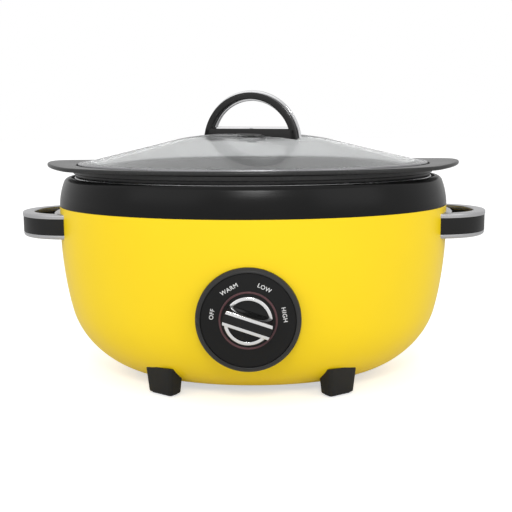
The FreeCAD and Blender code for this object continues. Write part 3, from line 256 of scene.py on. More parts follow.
def texture(material, scale, stretch=(1, 1, 1), detail=3.0):
    """Cloudy noise on the piece's own coordinates, in features to the metre, stretched along its axes."""
    nodes, links = material.node_tree.nodes, material.node_tree.links
    where = nodes.new("ShaderNodeTexCoord")
    mapping = nodes.new("ShaderNodeMapping")
    mapping.inputs["Scale"].default_value = stretch
    noise = nodes.new("ShaderNodeTexNoise")
    noise.inputs["Scale"].default_value = scale
    noise.inputs["Detail"].default_value = detail
    links.new(where.outputs["Object"], mapping.inputs["Vector"])
    links.new(mapping.outputs["Vector"], noise.inputs["Vector"])
    return noise.outputs["Fac"]


def shades(material, field, dark, pale, low=0.35, high=0.65):
    """Base colour that drifts from a dark to a pale shade across a texture."""
    nodes, links = material.node_tree.nodes, material.node_tree.links
    ramp = nodes.new("ShaderNodeValToRGB")
    ramp.color_ramp.elements[0].position = low
    ramp.color_ramp.elements[0].color = (*dark, 1)
    ramp.color_ramp.elements[1].position = high
    ramp.color_ramp.elements[1].color = (*pale, 1)
    links.new(field, ramp.inputs["Fac"])
    links.new(ramp.outputs["Color"], nodes["Principled BSDF"].inputs["Base Color"])


def sheen_drift(material, field, smooth, rough):
    """Roughness that drifts between two values across a texture."""
    nodes, links = material.node_tree.nodes, material.node_tree.links
    span = nodes.new("ShaderNodeMapRange")
    span.inputs["To Min"].default_value = smooth
    span.inputs["To Max"].default_value = rough
    links.new(field, span.inputs["Value"])
    links.new(span.outputs["Result"], nodes["Principled BSDF"].inputs["Roughness"])


def relief(material, field, height):
    """Surface relief of a real height in millimetres from a texture."""
    nodes, links = material.node_tree.nodes, material.node_tree.links
    bump = nodes.new("ShaderNodeBump")
    bump.inputs["Distance"].default_value = height * MM
    links.new(field, bump.inputs["Height"])
    links.new(bump.outputs["Normal"], nodes["Principled BSDF"].inputs["Normal"])


yellow_enamel = finish_of("yellow_enamel", roughness=0.38, specular=0.32)
shades(
    yellow_enamel,
    texture(yellow_enamel, 9.0),
    [0.985 * c for c in ENAMEL_YELLOW],
    [min(1.0, 1.012 * c) for c in ENAMEL_YELLOW],
)
sheen_drift(yellow_enamel, texture(yellow_enamel, 26.0), 0.34, 0.42)
relief(yellow_enamel, texture(yellow_enamel, 420.0, detail=1.0), 0.012)

bm = turned(
    [
        (HALF_WIDTH - CASING_WALL, CASING_TOP, 0),
        (HALF_WIDTH, CASING_TOP, 0.4),
        (HALF_WIDTH, FLANK_CORNER_HEIGHT, FLANK_ROUNDING),
        (BELLY_CORNER, BELLY_CORNER_HEIGHT, BELLY_ROUNDING),
        (0, BELLY_CORNER_HEIGHT, 0),
    ],
    segments=28,
)
bmesh.ops.bisect_plane(
    bm,
    geom=bm.verts[:] + bm.edges[:] + bm.faces[:],
    plane_co=(0, 0, CASING_BOTTOM),
    plane_no=(0, 0, 1),
    clear_inner=True,
)
rim = [edge for edge in bm.edges if edge.is_boundary and edge.verts[0].co.z < CASING_BOTTOM + 1]
flange = bmesh.ops.extrude_edge_only(bm, edges=rim)["geom"]
for part in flange:
    if isinstance(part, bmesh.types.BMVert):
        part.co.xy = part.co.xy.normalized() * BOTTOM_OPENING
squeeze(bm, lambda radius, height: radius * HALF_DEPTH / HALF_WIDTH)
behind_dial = []
for face in bm.faces:
    middle = face.calc_center_median()
    if middle.y < 0 and math.hypot(middle.x, middle.z - DIAL_HEIGHT) < DIAL_OPENING:
        behind_dial.append(face)
bmesh.ops.delete(bm, geom=behind_dial, context="FACES")
piece("casing", bm, yellow_enamel, "base", "outer_casing", slot="casing_paint")

# The top collar: a moulded black ring on the casing's edge, round-shouldered, with a groove inside
# its crest that holds the rim of the heating well.
SHOULDER_RISE = 10.2
SHOULDER_ROUNDING = 57.0
CREST = 188.7
CREST_EDGE = 177.0
CREST_ROUNDING = 6.0
LEDGE = 186.0
GROOVE_EDGE = 171.5
GROOVE_LIP = 0.5
COLLAR_BORE = 166.5
COLLAR_LAP = 6.0
COLLAR_TUCK = 4.0


def nested(radius):
    """Half-depth of an oval that keeps the same gap to the casing all round."""
    return radius - OVAL_DROP


def collar_half_depth(radius, height):
    """Half-depth of the collar's rings: outside in the casing's proportion, inside at an even gap."""
    if radius > GROOVE_EDGE + GROOVE_LIP:
        return radius * HALF_DEPTH / HALF_WIDTH
    return nested(radius)


def black_moulding(name, shade, roughness, grain=900.0, depth=0.03):
    """Moulded black plastic with a fine spark-eroded grain."""
    material = finish_of(name, roughness, specular=0.20)
    shades(material, texture(material, 14.0), [0.85 * shade] * 3, [1.15 * shade] * 3)
    sheen_drift(material, texture(material, 40.0), roughness - 0.05, roughness + 0.05)
    relief(material, texture(material, grain, detail=1.0), depth)
    return material


collar_black = black_moulding("collar_black", 0.004, 0.25)
bm = turned(
    [
        (HALF_WIDTH, CASING_TOP, 0.5),
        (HALF_WIDTH, CASING_TOP + SHOULDER_RISE, SHOULDER_ROUNDING),
        (CREST_EDGE, CREST, CREST_ROUNDING),
        (GROOVE_EDGE, CREST, 0.7),
        (GROOVE_EDGE, LEDGE, 0.4),
        (COLLAR_BORE, LEDGE, 0.6),
        (COLLAR_BORE, CASING_TOP - COLLAR_LAP, 0),
        (HALF_WIDTH - COLLAR_TUCK, CASING_TOP - COLLAR_LAP, 0),
        (HALF_WIDTH - COLLAR_TUCK, CASING_TOP, 0),
    ],
    closed=True,
)
squeeze(bm, collar_half_depth)
piece("collar", bm, collar_black, "base", "top_collar", slot="collar_black")

# The heating well: a bright pressed aluminium liner that the pot hangs in. Only its rolled rim shows
# as a thin line inside the collar until the pot is lifted out.
WELL_OUTER = 164.0
WELL_RIM_TOP = 189.0
WELL_RIM = 168.5
WELL_MOUTH = 163.0
WELL_ROLL = 163.2
WELL_NECK = 163.7
WELL_FLOOR = 47.5
WELL_CORNER = 149.0
WELL_ROUNDING = 29.0
WELL_WALL = 1.0
RIM_ROUNDING = 1.3


def bright_metal(name, shade, smooth, rough, stretch=(1, 1, 1), scale=60.0, depth=0.004):
    """Bare metal with faint drawn streaks that vary its polish."""
    material = finish_of(name, roughness=smooth, metallic=1.0)
    shades(material, texture(material, 12.0), [0.94 * c for c in shade], shade)
    streaks = texture(material, scale, stretch, detail=5.0)
    sheen_drift(material, streaks, smooth, rough)
    relief(material, streaks, depth)
    return material


def well_half_depth(radius, height):
    """Half-depth of the well's rings: the rolled rim, then the walls."""
    if radius > WELL_ROLL:
        return nested(radius)
    return radius * nested(WELL_OUTER) / WELL_OUTER


well_bright = bright_metal("well_bright", (0.78, 0.78, 0.79), 0.18, 0.34, stretch=(1, 1, 9), scale=45.0)
bm = turned(
    [
        (0, WELL_FLOOR, 0),
        (WELL_CORNER, WELL_FLOOR, WELL_ROUNDING),
        (WELL_MOUTH, WELL_RIM_TOP, 0.5),
        (WELL_RIM, WELL_RIM_TOP, RIM_ROUNDING),
        (WELL_RIM, LEDGE, RIM_ROUNDING),
        (WELL_NECK, LEDGE, 0),
        (WELL_CORNER + WELL_WALL, WELL_FLOOR - WELL_WALL, WELL_ROUNDING + WELL_WALL),
        (0, WELL_FLOOR - WELL_WALL, 0),
    ],
    segments=10,
)
squeeze(bm, well_half_depth)
piece("well", bm, well_bright, "base", "heating_well", slot="well_steel")

# The cooking pot: a deep oval pot with a black non-stick coating. Its flange rests over the collar
# and widens at both ends into flat wings to lift it by, with a recess that seats the lid.
POT_OUTER = 160.5
POT_FLOOR = 53.0
POT_CORNER = 143.5
POT_ROUNDING = 24.5
POT_WALL = 3.0
POT_MOUTH = 157.2
WALL_TOP = 159.5
RECESS_EDGE = 167.0
SHOULDER_EDGE = 169.5
SKIRT_EDGE = 167.5
SEAT_LEVEL = 189.3
SHOULDER_BOTTOM = 192.0
FLANGE_BOTTOM = 196.4
FLANGE_TOP = 200.2
LID_SEAT = 197.6
FLANGE_EDGE = 1.8
FLANGE_MIDDLE = 180.0
FLANGE_HALF_DEPTH = 124.5
WING_TIP = 194.0
WING_ROOT = 164.0
WING_LIFT = 2.6
WING_CURVE = 1.4
pot_coating = finish_of("pot_coating", roughness=0.3, specular=0.35)
coating_specks = texture(pot_coating, 700.0, detail=1.0)
shades(pot_coating, coating_specks, (0.014, 0.014, 0.014), (0.026, 0.026, 0.026), 0.45, 0.75)
sheen_drift(pot_coating, texture(pot_coating, 30.0), 0.24, 0.34)
relief(pot_coating, texture(pot_coating, 500.0, detail=1.0), 0.012)


def pot_half_depth(radius, height):
    """Half-depth of the pot's rings: flange, lid recess and shoulder, then the walls."""
    if radius > FLANGE_MIDDLE:
        return radius * FLANGE_HALF_DEPTH / WING_TIP
    if height > SEAT_LEVEL - 1:
        return nested(radius)
    return radius * nested(POT_OUTER) / POT_OUTER


bm = turned(
    [
        (0, POT_FLOOR, 0),
        (POT_CORNER, POT_FLOOR, POT_ROUNDING),
        (POT_MOUTH, LID_SEAT, 0.8),
        (RECESS_EDGE, LID_SEAT, 0.5),
        (RECESS_EDGE, FLANGE_TOP, 0.9),
        (WING_TIP, FLANGE_TOP, FLANGE_EDGE),
        (WING_TIP, FLANGE_BOTTOM, FLANGE_EDGE),
        (SHOULDER_EDGE, FLANGE_BOTTOM, 0.6),
        (SHOULDER_EDGE, SHOULDER_BOTTOM, 0.9),
        (SKIRT_EDGE, SHOULDER_BOTTOM, 0.3),
        (SKIRT_EDGE, SEAT_LEVEL, 0.6),
        (WALL_TOP, SEAT_LEVEL, 0.5),
        (POT_CORNER + POT_WALL, POT_FLOOR - POT_WALL, POT_ROUNDING + POT_WALL),
        (0, POT_FLOOR - POT_WALL, 0),
    ],
    segments=8,
)
squeeze(bm, pot_half_depth)
for vert in bm.verts:
    beyond = (abs(vert.co.x) - WING_ROOT) / (WING_TIP - WING_ROOT)
    if vert.co.z > LID_SEAT - 2 and beyond > 0:
        vert.co.z += WING_LIFT * beyond**WING_CURVE
piece("pot", bm, pot_coating, "pot", "cooking_pot", slot="pot_coating")

# The lid: a tempered glass dome, straight-sloped like a loaf, in a thin rolled steel rim. A steel
# washer and screw under the crown hold its handle, over a soft pad.
LID_EDGE = 165.0
GLASS_EDGE = 164.1
LID_BOTTOM = 197.9
GLASS_BOTTOM = 198.8
GLASS_EDGE_TOP = 200.6
GLASS_INNER_EDGE = 152.0
RIM_INNER = 160.4
RIM_HEIGHT = 3.6
RIM_LIP = 162.0
RIM_LIP_HEIGHT = 3.9
RIM_SHEET = 0.6
CROWN_TOP = 227.4
CROWN_HALF_WIDTH = 52.0
CROWN_HALF_DEPTH = 7.0
CROWN_ROUNDING = 190.0
GLASS_THICKNESS = 4.0
CLARITY = 0.89
SHEET_INDEX = 1.12


def lid_half_depth(radius, height=0.0):
    """Half-depth of the lid's rings, which keep the same slope at the front as at the ends."""
    if radius < CROWN_HALF_WIDTH:
        return radius * CROWN_HALF_DEPTH / CROWN_HALF_WIDTH
    return max(nested(radius), CROWN_HALF_DEPTH)


clear_glass = finish_of("clear_glass", roughness=0.1, specular=0.04)
shader = clear_glass.node_tree.nodes["Principled BSDF"]
shader.inputs["Transmission Weight"].default_value = CLARITY
shader.inputs["IOR"].default_value = SHEET_INDEX
shades(clear_glass, texture(clear_glass, 8.0), (0.85, 0.86, 0.86), (0.88, 0.89, 0.89))
sheen_drift(clear_glass, texture(clear_glass, 18.0), 0.03, 0.06)
bm = turned(
    [
        (0, CROWN_TOP, 0),
        (CROWN_HALF_WIDTH, CROWN_TOP, CROWN_ROUNDING),
        (GLASS_EDGE, GLASS_EDGE_TOP, 0.6),
        (GLASS_EDGE, GLASS_BOTTOM, 0.4),
        (GLASS_INNER_EDGE, GLASS_BOTTOM, 0.4),
        (CROWN_HALF_WIDTH, CROWN_TOP - GLASS_THICKNESS, CROWN_ROUNDING),
        (0, CROWN_TOP - GLASS_THICKNESS, 0),
    ],
    segments=24,
)
squeeze(bm, lid_half_depth)
piece("lid_dome", bm, clear_glass, "lid", "lid_glass", slot="lid_glass")

# Painted shade: the rim's steel is darkened all round to a dark grey, as if it lay in the shadow of the
# pot's recess.
rim_steel_painted_shade = bright_metal("rim_steel_painted_shade", (0.32, 0.32, 0.33), 0.20, 0.32, scale=80.0)
bm = turned(
    [
        (RIM_INNER, LID_BOTTOM, 0.5),
        (LID_EDGE, LID_BOTTOM, 1.0),
        (LID_EDGE, LID_BOTTOM + RIM_HEIGHT, RIM_ROUNDING),
        (RIM_LIP, LID_BOTTOM + RIM_LIP_HEIGHT, 0.5),
        (RIM_LIP - RIM_SHEET, LID_BOTTOM + RIM_LIP_HEIGHT - RIM_ROUNDING, 0),
        (RIM_INNER, GLASS_BOTTOM, 0),
    ],
    closed=True,
    segments=6,
)
squeeze(bm, lambda radius, height: nested(radius))
piece("lid_rim_band", bm, rim_steel_painted_shade, "lid", "lid_rim", slot="lid_steel")

# The lid handle: a chromed D-shaped frame held between two black moulded grips, so that its edge
# shows as a bright line along the arch and round the opening. It is screwed up through the glass.
HANDLE_TURN = math.radians(-20.0)
ARCH_CENTRE = 218.8
ARCH_RADIUS = 49.2
ARCH_ENDS = 2.0
FRAME_BAND = 9.8
FRAME_HALF = 1.8
GRIP_THICKNESS = 6.0
GRIP_SETBACK = 2.0
GRIP_INNER_SETBACK = 1.7
FRAME_EDGE = 0.5
GRIP_EDGE = 1.3
BAR_TOP = 234.0
BAR_INSET = 1.5
ARCH_SKIN = 0.6
HANDLE_LIFT = 0.15


def glass_top(x, y):
    """Height of the lid's outer face over a point."""
    low, high = CROWN_HALF_WIDTH, GLASS_EDGE
    if math.hypot(x / low, y / lid_half_depth(low)) <= 1:
        return CROWN_TOP
    for halving in range(24):
        middle = (low + high) / 2
        if math.hypot(x / middle, y / lid_half_depth(middle)) > 1:
            low = middle
        else:
            high = middle
    share = (low - CROWN_HALF_WIDTH) / (GLASS_EDGE - CROWN_HALF_WIDTH)
    return CROWN_TOP + share * (GLASS_EDGE_TOP - CROWN_TOP)


def joined(bm, other):
    """Adds another finished mesh to this one."""
    mesh = bpy.data.meshes.new("part")
    other.to_mesh(mesh)
    other.free()
    bm.from_mesh(mesh)
    bpy.data.meshes.remove(mesh)
    return bm


def block(length, depth, bottom, top):
    """Plain block round the upright axis between two heights."""
    bm = bmesh.new()
    bmesh.ops.create_cube(bm, size=1.0)
    bmesh.ops.scale(bm, vec=(length, depth, top - bottom), verts=bm.verts)
    shift(bm, 0, 0, (top + bottom) / 2)
    return bm


def edges_along(bm, axis, least):
    """Edges that run further than a given length along the x, y or z axis."""
    i = "xyz".index(axis)
    return [edge for edge in bm.edges if abs(edge.verts[0].co[i] - edge.verts[1].co[i]) > least]


def rounded_edges(bm, edges, radius, segments):
    """Rounds some of a mesh's edges."""
    bmesh.ops.bevel(
        bm,
        geom=edges,
        offset=radius,
        offset_type="OFFSET",
        segments=segments,
        profile=0.5,
        affect="EDGES",
        material=-1,
    )


def rounded_bar(length, depth, height, edge, cuts=24, segments=3):
    """Straight bar along X with rounded long edges, cut across so that it can follow a curve."""
    bm = block(length, depth, -height / 2, height / 2)
    rounded_edges(bm, edges_along(bm, "x", length / 2), edge, segments)
    bmesh.ops.subdivide_edges(bm, edges=edges_along(bm, "x", length / 2), cuts=cuts, use_grid_fill=True)
    return bm


def handle_layer(outer, inner, bar_top, front, back, edge):
    """One layer of the handle between two planes of its thickness: an arch, and a bar along the glass."""
    arch = turned(
        [(inner, -back, edge), (outer, -back, edge), (outer, -front, edge), (inner, -front, edge)],
        steps=72,
        segments=4,
        closed=True,
        start=ARCH_ENDS,
        end=180.0 - ARCH_ENDS,
    )
    turn(arch, math.radians(90), "X")
    shift(arch, 0, 0, ARCH_CENTRE)
    bar = rounded_bar(2 * (outer - BAR_INSET), back - front, bar_top - ARCH_CENTRE, edge)
    shift(bar, 0, (front + back) / 2, (bar_top + ARCH_CENTRE) / 2)
    for vert in bar.verts:
        reach = math.sqrt(max(0.0, (outer - ARCH_SKIN) ** 2 - (vert.co.z - ARCH_CENTRE) ** 2))
        vert.co.x = max(-reach, min(reach, vert.co.x))
    layer = joined(arch, bar)
    turn(layer, HANDLE_TURN, "Z")
    for vert in layer.verts:
        vert.co.z = max(vert.co.z, glass_top(vert.co.x, vert.co.y) + HANDLE_LIFT)
    return layer


polished_chrome = bright_metal("polished_chrome", (0.66, 0.66, 0.67), 0.06, 0.14, scale=30.0, depth=0.002)
grip_black = black_moulding("grip_black", 0.020, 0.36)
bm = handle_layer(ARCH_RADIUS, ARCH_RADIUS - FRAME_BAND, BAR_TOP, -FRAME_HALF, FRAME_HALF, FRAME_EDGE)
piece("handle_frame", bm, polished_chrome, "lid", "lid_handle_frame", slot="handle_silver")
for name, node, front in (
    ("handle_front_grip", "lid_handle_front_grip", -FRAME_HALF - GRIP_THICKNESS),
    ("handle_rear_grip", "lid_handle_rear_grip", FRAME_HALF),
):
    bm = handle_layer(
        ARCH_RADIUS - GRIP_SETBACK,
        ARCH_RADIUS - FRAME_BAND + GRIP_INNER_SETBACK,
        BAR_TOP - GRIP_INNER_SETBACK,
        front,
        front + GRIP_THICKNESS,
        GRIP_EDGE,
    )
    piece(name, bm, grip_black, "lid", node, slot="handle_black")

# The side handles: a closed loop at each end, a black moulded core between two satin silver trims,
# screwed on from inside the casing.
LOOP_CENTRE = 172.5
LOOP_OUTER = 48.0
LOOP_INNER = 37.0
CORE_BOTTOM = 137.0
CORE_TOP = 152.0
TRIM_HEIGHT = 4.0
CORE_SETBACK = 0.5
UNDER_SETBACK = 0.6
LAYER_EDGE = 0.4
TOP_EDGE = 1.3
UNDER_EDGE = 2.6
BOW_REACH = 97.0
END_CURVE = HALF_DEPTH**2 / HALF_WIDTH
ROOT_DEPTH = 5.3
ROOT_LAP = 0.6
ROOT_REACH = 23.0


def loop(bottom, top, shrink, low_edge, high_edge):
    """Right-hand handle loop between two heights: a bow, and a root along the casing's end."""
    outer, inner = LOOP_OUTER - shrink, LOOP_INNER + shrink
    bow = turned(
        [
            (inner, bottom, low_edge),
            (outer, bottom, low_edge),
            (outer, top, high_edge),
            (inner, top, high_edge),
        ],
        steps=72,
        segments=5,
        closed=True,
        start=-BOW_REACH,
        end=BOW_REACH,
    )
    shift(bow, LOOP_CENTRE, 0, 0)
    back, face = END_CURVE - ROOT_LAP, END_CURVE + ROOT_DEPTH - shrink
    root = turned(
        [(back, bottom, 0), (face, bottom, low_edge), (face, top, high_edge), (back, top, 0)],
        steps=24,
        segments=5,
        closed=True,
        start=-ROOT_REACH,
        end=ROOT_REACH,
    )
    shift(root, HALF_WIDTH - END_CURVE, 0, 0)
    return joined(bow, root)


satin_silver = bright_metal("satin_silver", (0.52, 0.52, 0.53), 0.30, 0.40, scale=120.0)
handle_black = black_moulding("handle_black", 0.014, 0.40)
core_sizes = (CORE_BOTTOM, CORE_TOP, CORE_SETBACK, LAYER_EDGE, LAYER_EDGE)
top_sizes = (CORE_TOP, CORE_TOP + TRIM_HEIGHT, 0, LAYER_EDGE, TOP_EDGE)
under_sizes = (CORE_BOTTOM - TRIM_HEIGHT, CORE_BOTTOM, UNDER_SETBACK, UNDER_EDGE, LAYER_EDGE)
for side, sign in (("right", 1), ("left", -1)):
    for layer, node, finish, slot, sizes in (
        ("core", "grip", handle_black, "handle_black", core_sizes),
        ("top_ring", "top_trim", satin_silver, "handle_silver", top_sizes),
        ("under_ring", "bottom_trim", satin_silver, "handle_silver", under_sizes),
    ):
        bm = loop(*sizes)
        bmesh.ops.scale(bm, vec=(sign, 1, 1), verts=bm.verts)
        bmesh.ops.recalc_face_normals(bm, faces=bm.faces)
        piece(f"{side}_handle_{layer}", bm, finish, "base", f"{side}_handle_{node}", slot=slot)

# The control panel: a shallow black drum let into the casing's front, closed by a printed dial plate
# inside a bevelled dark grey bezel, with a thin russet ring round the knob.
BEZEL_RADIUS = 44.2
BEZEL_WIDTH = 4.2
BEZEL_BEVEL = 2.4
PANEL_FACE = 138.25
BEZEL_FACE = 141.45
DIAL_FACE = 140.05
DRUM_BACK = 117.0
DIAL_CLEARANCE = 0.3
DIAL_EDGE = BEZEL_RADIUS - BEZEL_WIDTH - DIAL_CLEARANCE
RING_INNER = 22.8
RING_OUTER = 24.5
RING_HEIGHT = 0.7
RING_FACE = DIAL_FACE + RING_HEIGHT
RING_EDGE = 0.35
SETTING_RADIUS = 30.4
LETTER_HEIGHT = 3.5
CAPITAL_SHARE = 0.7
LETTER_PROUD = 0.06
LETTER_SPACING = 1.1
LETTER_WEIGHT = 0.03


def facing_dial(bm):
    """Turns a body built round the upright axis to face the front, on the dial's axis."""
    turn(bm, math.radians(90), "X")
    shift(bm, 0, 0, DIAL_HEIGHT)
    return bm


def disc(radius, back, face, edge, steps, segments=16):
    """Round plate between two distances from the vessel's middle, with a rounded front edge."""
    return turned([(0, back, 0), (radius, back, 0), (radius, face, edge), (0, face, 0)], steps, segments)


drum_black = black_moulding("drum_black", 0.014, 0.45)
bm = disc(BEZEL_RADIUS, DRUM_BACK, PANEL_FACE, 0.4, steps=128)
piece("dial_drum", facing_dial(bm), drum_black, "base", "panel_housing", slot="collar_black")

bezel_grey = black_moulding("bezel_grey", 0.030, 0.26)
bm = turned(
    [
        (BEZEL_RADIUS - BEZEL_WIDTH, PANEL_FACE, 0),
        (BEZEL_RADIUS, PANEL_FACE, 0.2),
        (BEZEL_RADIUS, BEZEL_FACE - BEZEL_BEVEL, 1.2),
        (BEZEL_RADIUS - BEZEL_BEVEL, BEZEL_FACE, 0.6),
        (BEZEL_RADIUS - BEZEL_WIDTH, BEZEL_FACE, 0.6),
    ],
    steps=160,
    segments=6,
    closed=True,
)
piece("dial_surround", facing_dial(bm), bezel_grey, "base", "dial_bezel", slot="bezel_grey")

dial_black = black_moulding("dial_black", 0.007, 0.36, grain=1400.0, depth=0.012)
bm = disc(DIAL_EDGE, PANEL_FACE, DIAL_FACE, 0.3, steps=160)
piece("dial_face", facing_dial(bm), dial_black, "base", "dial_plate", slot="dial_black")

russet_ring = finish_of("russet_ring", roughness=0.35, specular=0.4)
shades(russet_ring, texture(russet_ring, 60.0), (0.075, 0.030, 0.034), (0.110, 0.045, 0.050))
relief(russet_ring, texture(russet_ring, 900.0, detail=1.0), 0.01)
bm = turned(
    [
        (RING_INNER, DIAL_FACE, 0),
        (RING_OUTER, DIAL_FACE, 0),
        (RING_OUTER, RING_FACE, RING_EDGE),
        (RING_INNER, RING_FACE, RING_EDGE),
    ],
    steps=128,
    segments=4,
    closed=True,
)
piece("knob_surround", facing_dial(bm), russet_ring, "base", "knob_ring", slot="ring_red")

print_white = finish_of("print_white", roughness=0.5, specular=0.3)
shades(print_white, texture(print_white, 400.0), (0.72, 0.72, 0.71), (0.84, 0.84, 0.83))
for word, bearing in (("OFF", 170.0), ("WARM", 120.5), ("LOW", 63.5), ("HIGH", 9.3)):
    letters = bpy.data.curves.new(word, "FONT")
    letters.body = word
    letters.align_x = "CENTER"
    letters.align_y = "CENTER"
    letters.size = LETTER_HEIGHT / CAPITAL_SHARE
    letters.space_character = LETTER_SPACING
    letters.extrude = LETTER_PROUD / 2
    letters.offset = LETTER_WEIGHT
    lettering = bpy.data.objects.new(word, letters)
    scene.collection.objects.link(lettering)
    bpy.context.view_layer.update()
    flat = bpy.data.meshes.new_from_object(lettering.evaluated_get(bpy.context.evaluated_depsgraph_get()))
    bpy.data.objects.remove(lettering)
    bm = bmesh.new()
    bm.from_mesh(flat)
    bpy.data.meshes.remove(flat)
    turn(bm, math.radians(bearing - 90), "Z")
    across, up = math.cos(math.radians(bearing)), math.sin(math.radians(bearing))
    shift(bm, SETTING_RADIUS * across, SETTING_RADIUS * up, DIAL_FACE + LETTER_PROUD / 2)
    piece(f"setting_{word.lower()}", facing_dial(bm), print_white, "base", slot="dial_black")

# The knob: a black moulding with a tall grip bar across it, a chromed rim and a chromed cap on the
# bar with a black strip let into its face. It is pushed on the flat of the switch shaft.
KNOB_RADIUS = 20.5
KNOB_BAND = 3.2
KNOB_CLEARANCE = 0.4
KNOB_BASE = DIAL_FACE + KNOB_CLEARANCE
KNOB_RIM = 3.0
KNOB_FLOOR = 1.8
KNOB_HEIGHT = 18.0
KNOB_TURN = math.radians(-18.5)
BAR_BASE = 17.0
BAR_FACE = 12.4
STRIP_WIDTH = 7.2
STRIP_DEPTH = 1.6
STRIP_PROUD = 0.15
CAP_SLOPE = 0.3
BAR_SUNK = 0.4
BAR_EDGE = 0.3
BAR_END_CUTS = 11
STRIP_EDGE = 0.12


def on_knob(bm):
    """Turns a knob piece to its rest setting and sets it in front of the dial plate."""
    turn(bm, KNOB_TURN, "Z")
    shift(bm, 0, 0, KNOB_BASE)
    return facing_dial(bm)


def cross_bar(base_width, face_width, bottom, top, edge):
    """Bar across the knob with sloping sides, its ends on the knob's round."""
    bm = block(2 * KNOB_RADIUS, base_width, bottom, top)
    for vert in bm.verts:
        if vert.co.z > (top + bottom) / 2:
            vert.co.y *= face_width / base_width
    across = edges_along(bm, "y", face_width / 2)
    bmesh.ops.subdivide_edges(bm, edges=across, cuts=BAR_END_CUTS, use_grid_fill=True)
    for vert in bm.verts:
        vert.co.x = math.copysign(math.sqrt(KNOB_RADIUS**2 - vert.co.y**2), vert.co.x)
    corners = [side for side in bm.edges if side.calc_face_angle(0.0) > math.radians(40)]
    rounded_edges(bm, corners, edge, 3)
    return bm


knob_chrome = bright_metal("knob_chrome", (0.82, 0.82, 0.82), 0.08, 0.20, stretch=(1, 1, 6), scale=55.0)
bm = turned(
    [
        (KNOB_RADIUS - KNOB_BAND, 0, 0),
        (KNOB_RADIUS, 0, 0.3),
        (KNOB_RADIUS, KNOB_RIM, 0.9),
        (KNOB_RADIUS - KNOB_BAND, KNOB_RIM, 0.5),
    ],
    steps=128,
    segments=5,
    closed=True,
)
joined(bm, cross_bar(BAR_FACE + CAP_SLOPE, BAR_FACE, KNOB_HEIGHT - STRIP_DEPTH, KNOB_HEIGHT, BAR_EDGE))
piece("knob_rim_and_cap", on_knob(bm), knob_chrome, "knob", "knob_trim", slot="knob_chrome")

knob_black = black_moulding("knob_black", 0.010, 0.14, grain=1200.0, depth=0.003)
bm = disc(KNOB_RADIUS - KNOB_BAND, 0, KNOB_FLOOR, 0.2, steps=96, segments=3)
joined(bm, cross_bar(BAR_BASE, BAR_FACE, KNOB_FLOOR - BAR_SUNK, KNOB_HEIGHT - STRIP_DEPTH, BAR_EDGE))
piece("knob_base", on_knob(bm), knob_black, "knob", "knob_body", slot="knob_black")
bm = cross_bar(STRIP_WIDTH, STRIP_WIDTH, KNOB_HEIGHT - STRIP_DEPTH, KNOB_HEIGHT + STRIP_PROUD, STRIP_EDGE)
piece("knob_strip", on_knob(bm), knob_black, "knob", "knob_insert", slot="knob_black")

# The feet: four tapered black blocks moulded to the casing's belly and turned towards its corners,
# each screwed on from below, with a rubber pad let into its sole.
FOOT_X = 77.0
FOOT_Y = 87.0
FOOT_TURN = math.radians(36.0)
FOOT_LENGTH = 28.0
FOOT_DEPTH = 15.0
FOOT_FLARE = 2.0
FOOT_BOTTOM = 1.2
FOOT_TOP = 26.0
FOOT_CORNER = 4.0
FOOT_EDGE = 1.4
PAD_MARGIN = 2.5
PAD_TOP = 3.2
PAD_CORNER = 2.0
PAD_EDGE = 0.3


def foot_block(length, depth, bottom, top, flare, corner, edge):
    """Block at the front right foot, its upright corners and its lower edges rounded."""
    bm = block(length, depth, bottom, top)
    for vert in bm.verts:
        if vert.co.z > (top + bottom) / 2:
            vert.co.x += math.copysign(flare, vert.co.x)
            vert.co.y += math.copysign(flare, vert.co.y)
    rounded_edges(bm, edges_along(bm, "z", 1), corner, 6)
    sole = [side for side in bm.edges if max(vert.co.z for vert in side.verts) < bottom + 0.1]
    rounded_edges(bm, sole, edge, 4)
    turn(bm, FOOT_TURN, "Z")
    shift(bm, FOOT_X, -FOOT_Y, 0)
    return bm


foot_black = black_moulding("foot_black", 0.016, 0.48)
pad_rubber = black_moulding("pad_rubber", 0.05, 0.75, grain=500.0, depth=0.06)
for corner, across, along in (
    ("front_left", -1, 1),
    ("front_right", 1, 1),
    ("rear_left", -1, -1),
    ("rear_right", 1, -1),
):
    foot = foot_block(FOOT_LENGTH, FOOT_DEPTH, FOOT_BOTTOM, FOOT_TOP, FOOT_FLARE, FOOT_CORNER, FOOT_EDGE)
    pad_length, pad_depth = FOOT_LENGTH - 2 * PAD_MARGIN, FOOT_DEPTH - 2 * PAD_MARGIN
    pad = foot_block(pad_length, pad_depth, 0, PAD_TOP, 0, PAD_CORNER, PAD_EDGE)
    for bm in (foot, pad):
        bmesh.ops.scale(bm, vec=(across, along, 1), verts=bm.verts)
        bmesh.ops.recalc_face_normals(bm, faces=bm.faces)
    piece(f"foot_block_{corner}", foot, foot_black, "base", f"foot_{corner}", slot="foot_black")
    piece(f"foot_sole_{corner}", pad, pad_rubber, "base", f"foot_pad_{corner}", slot="soft_pad")

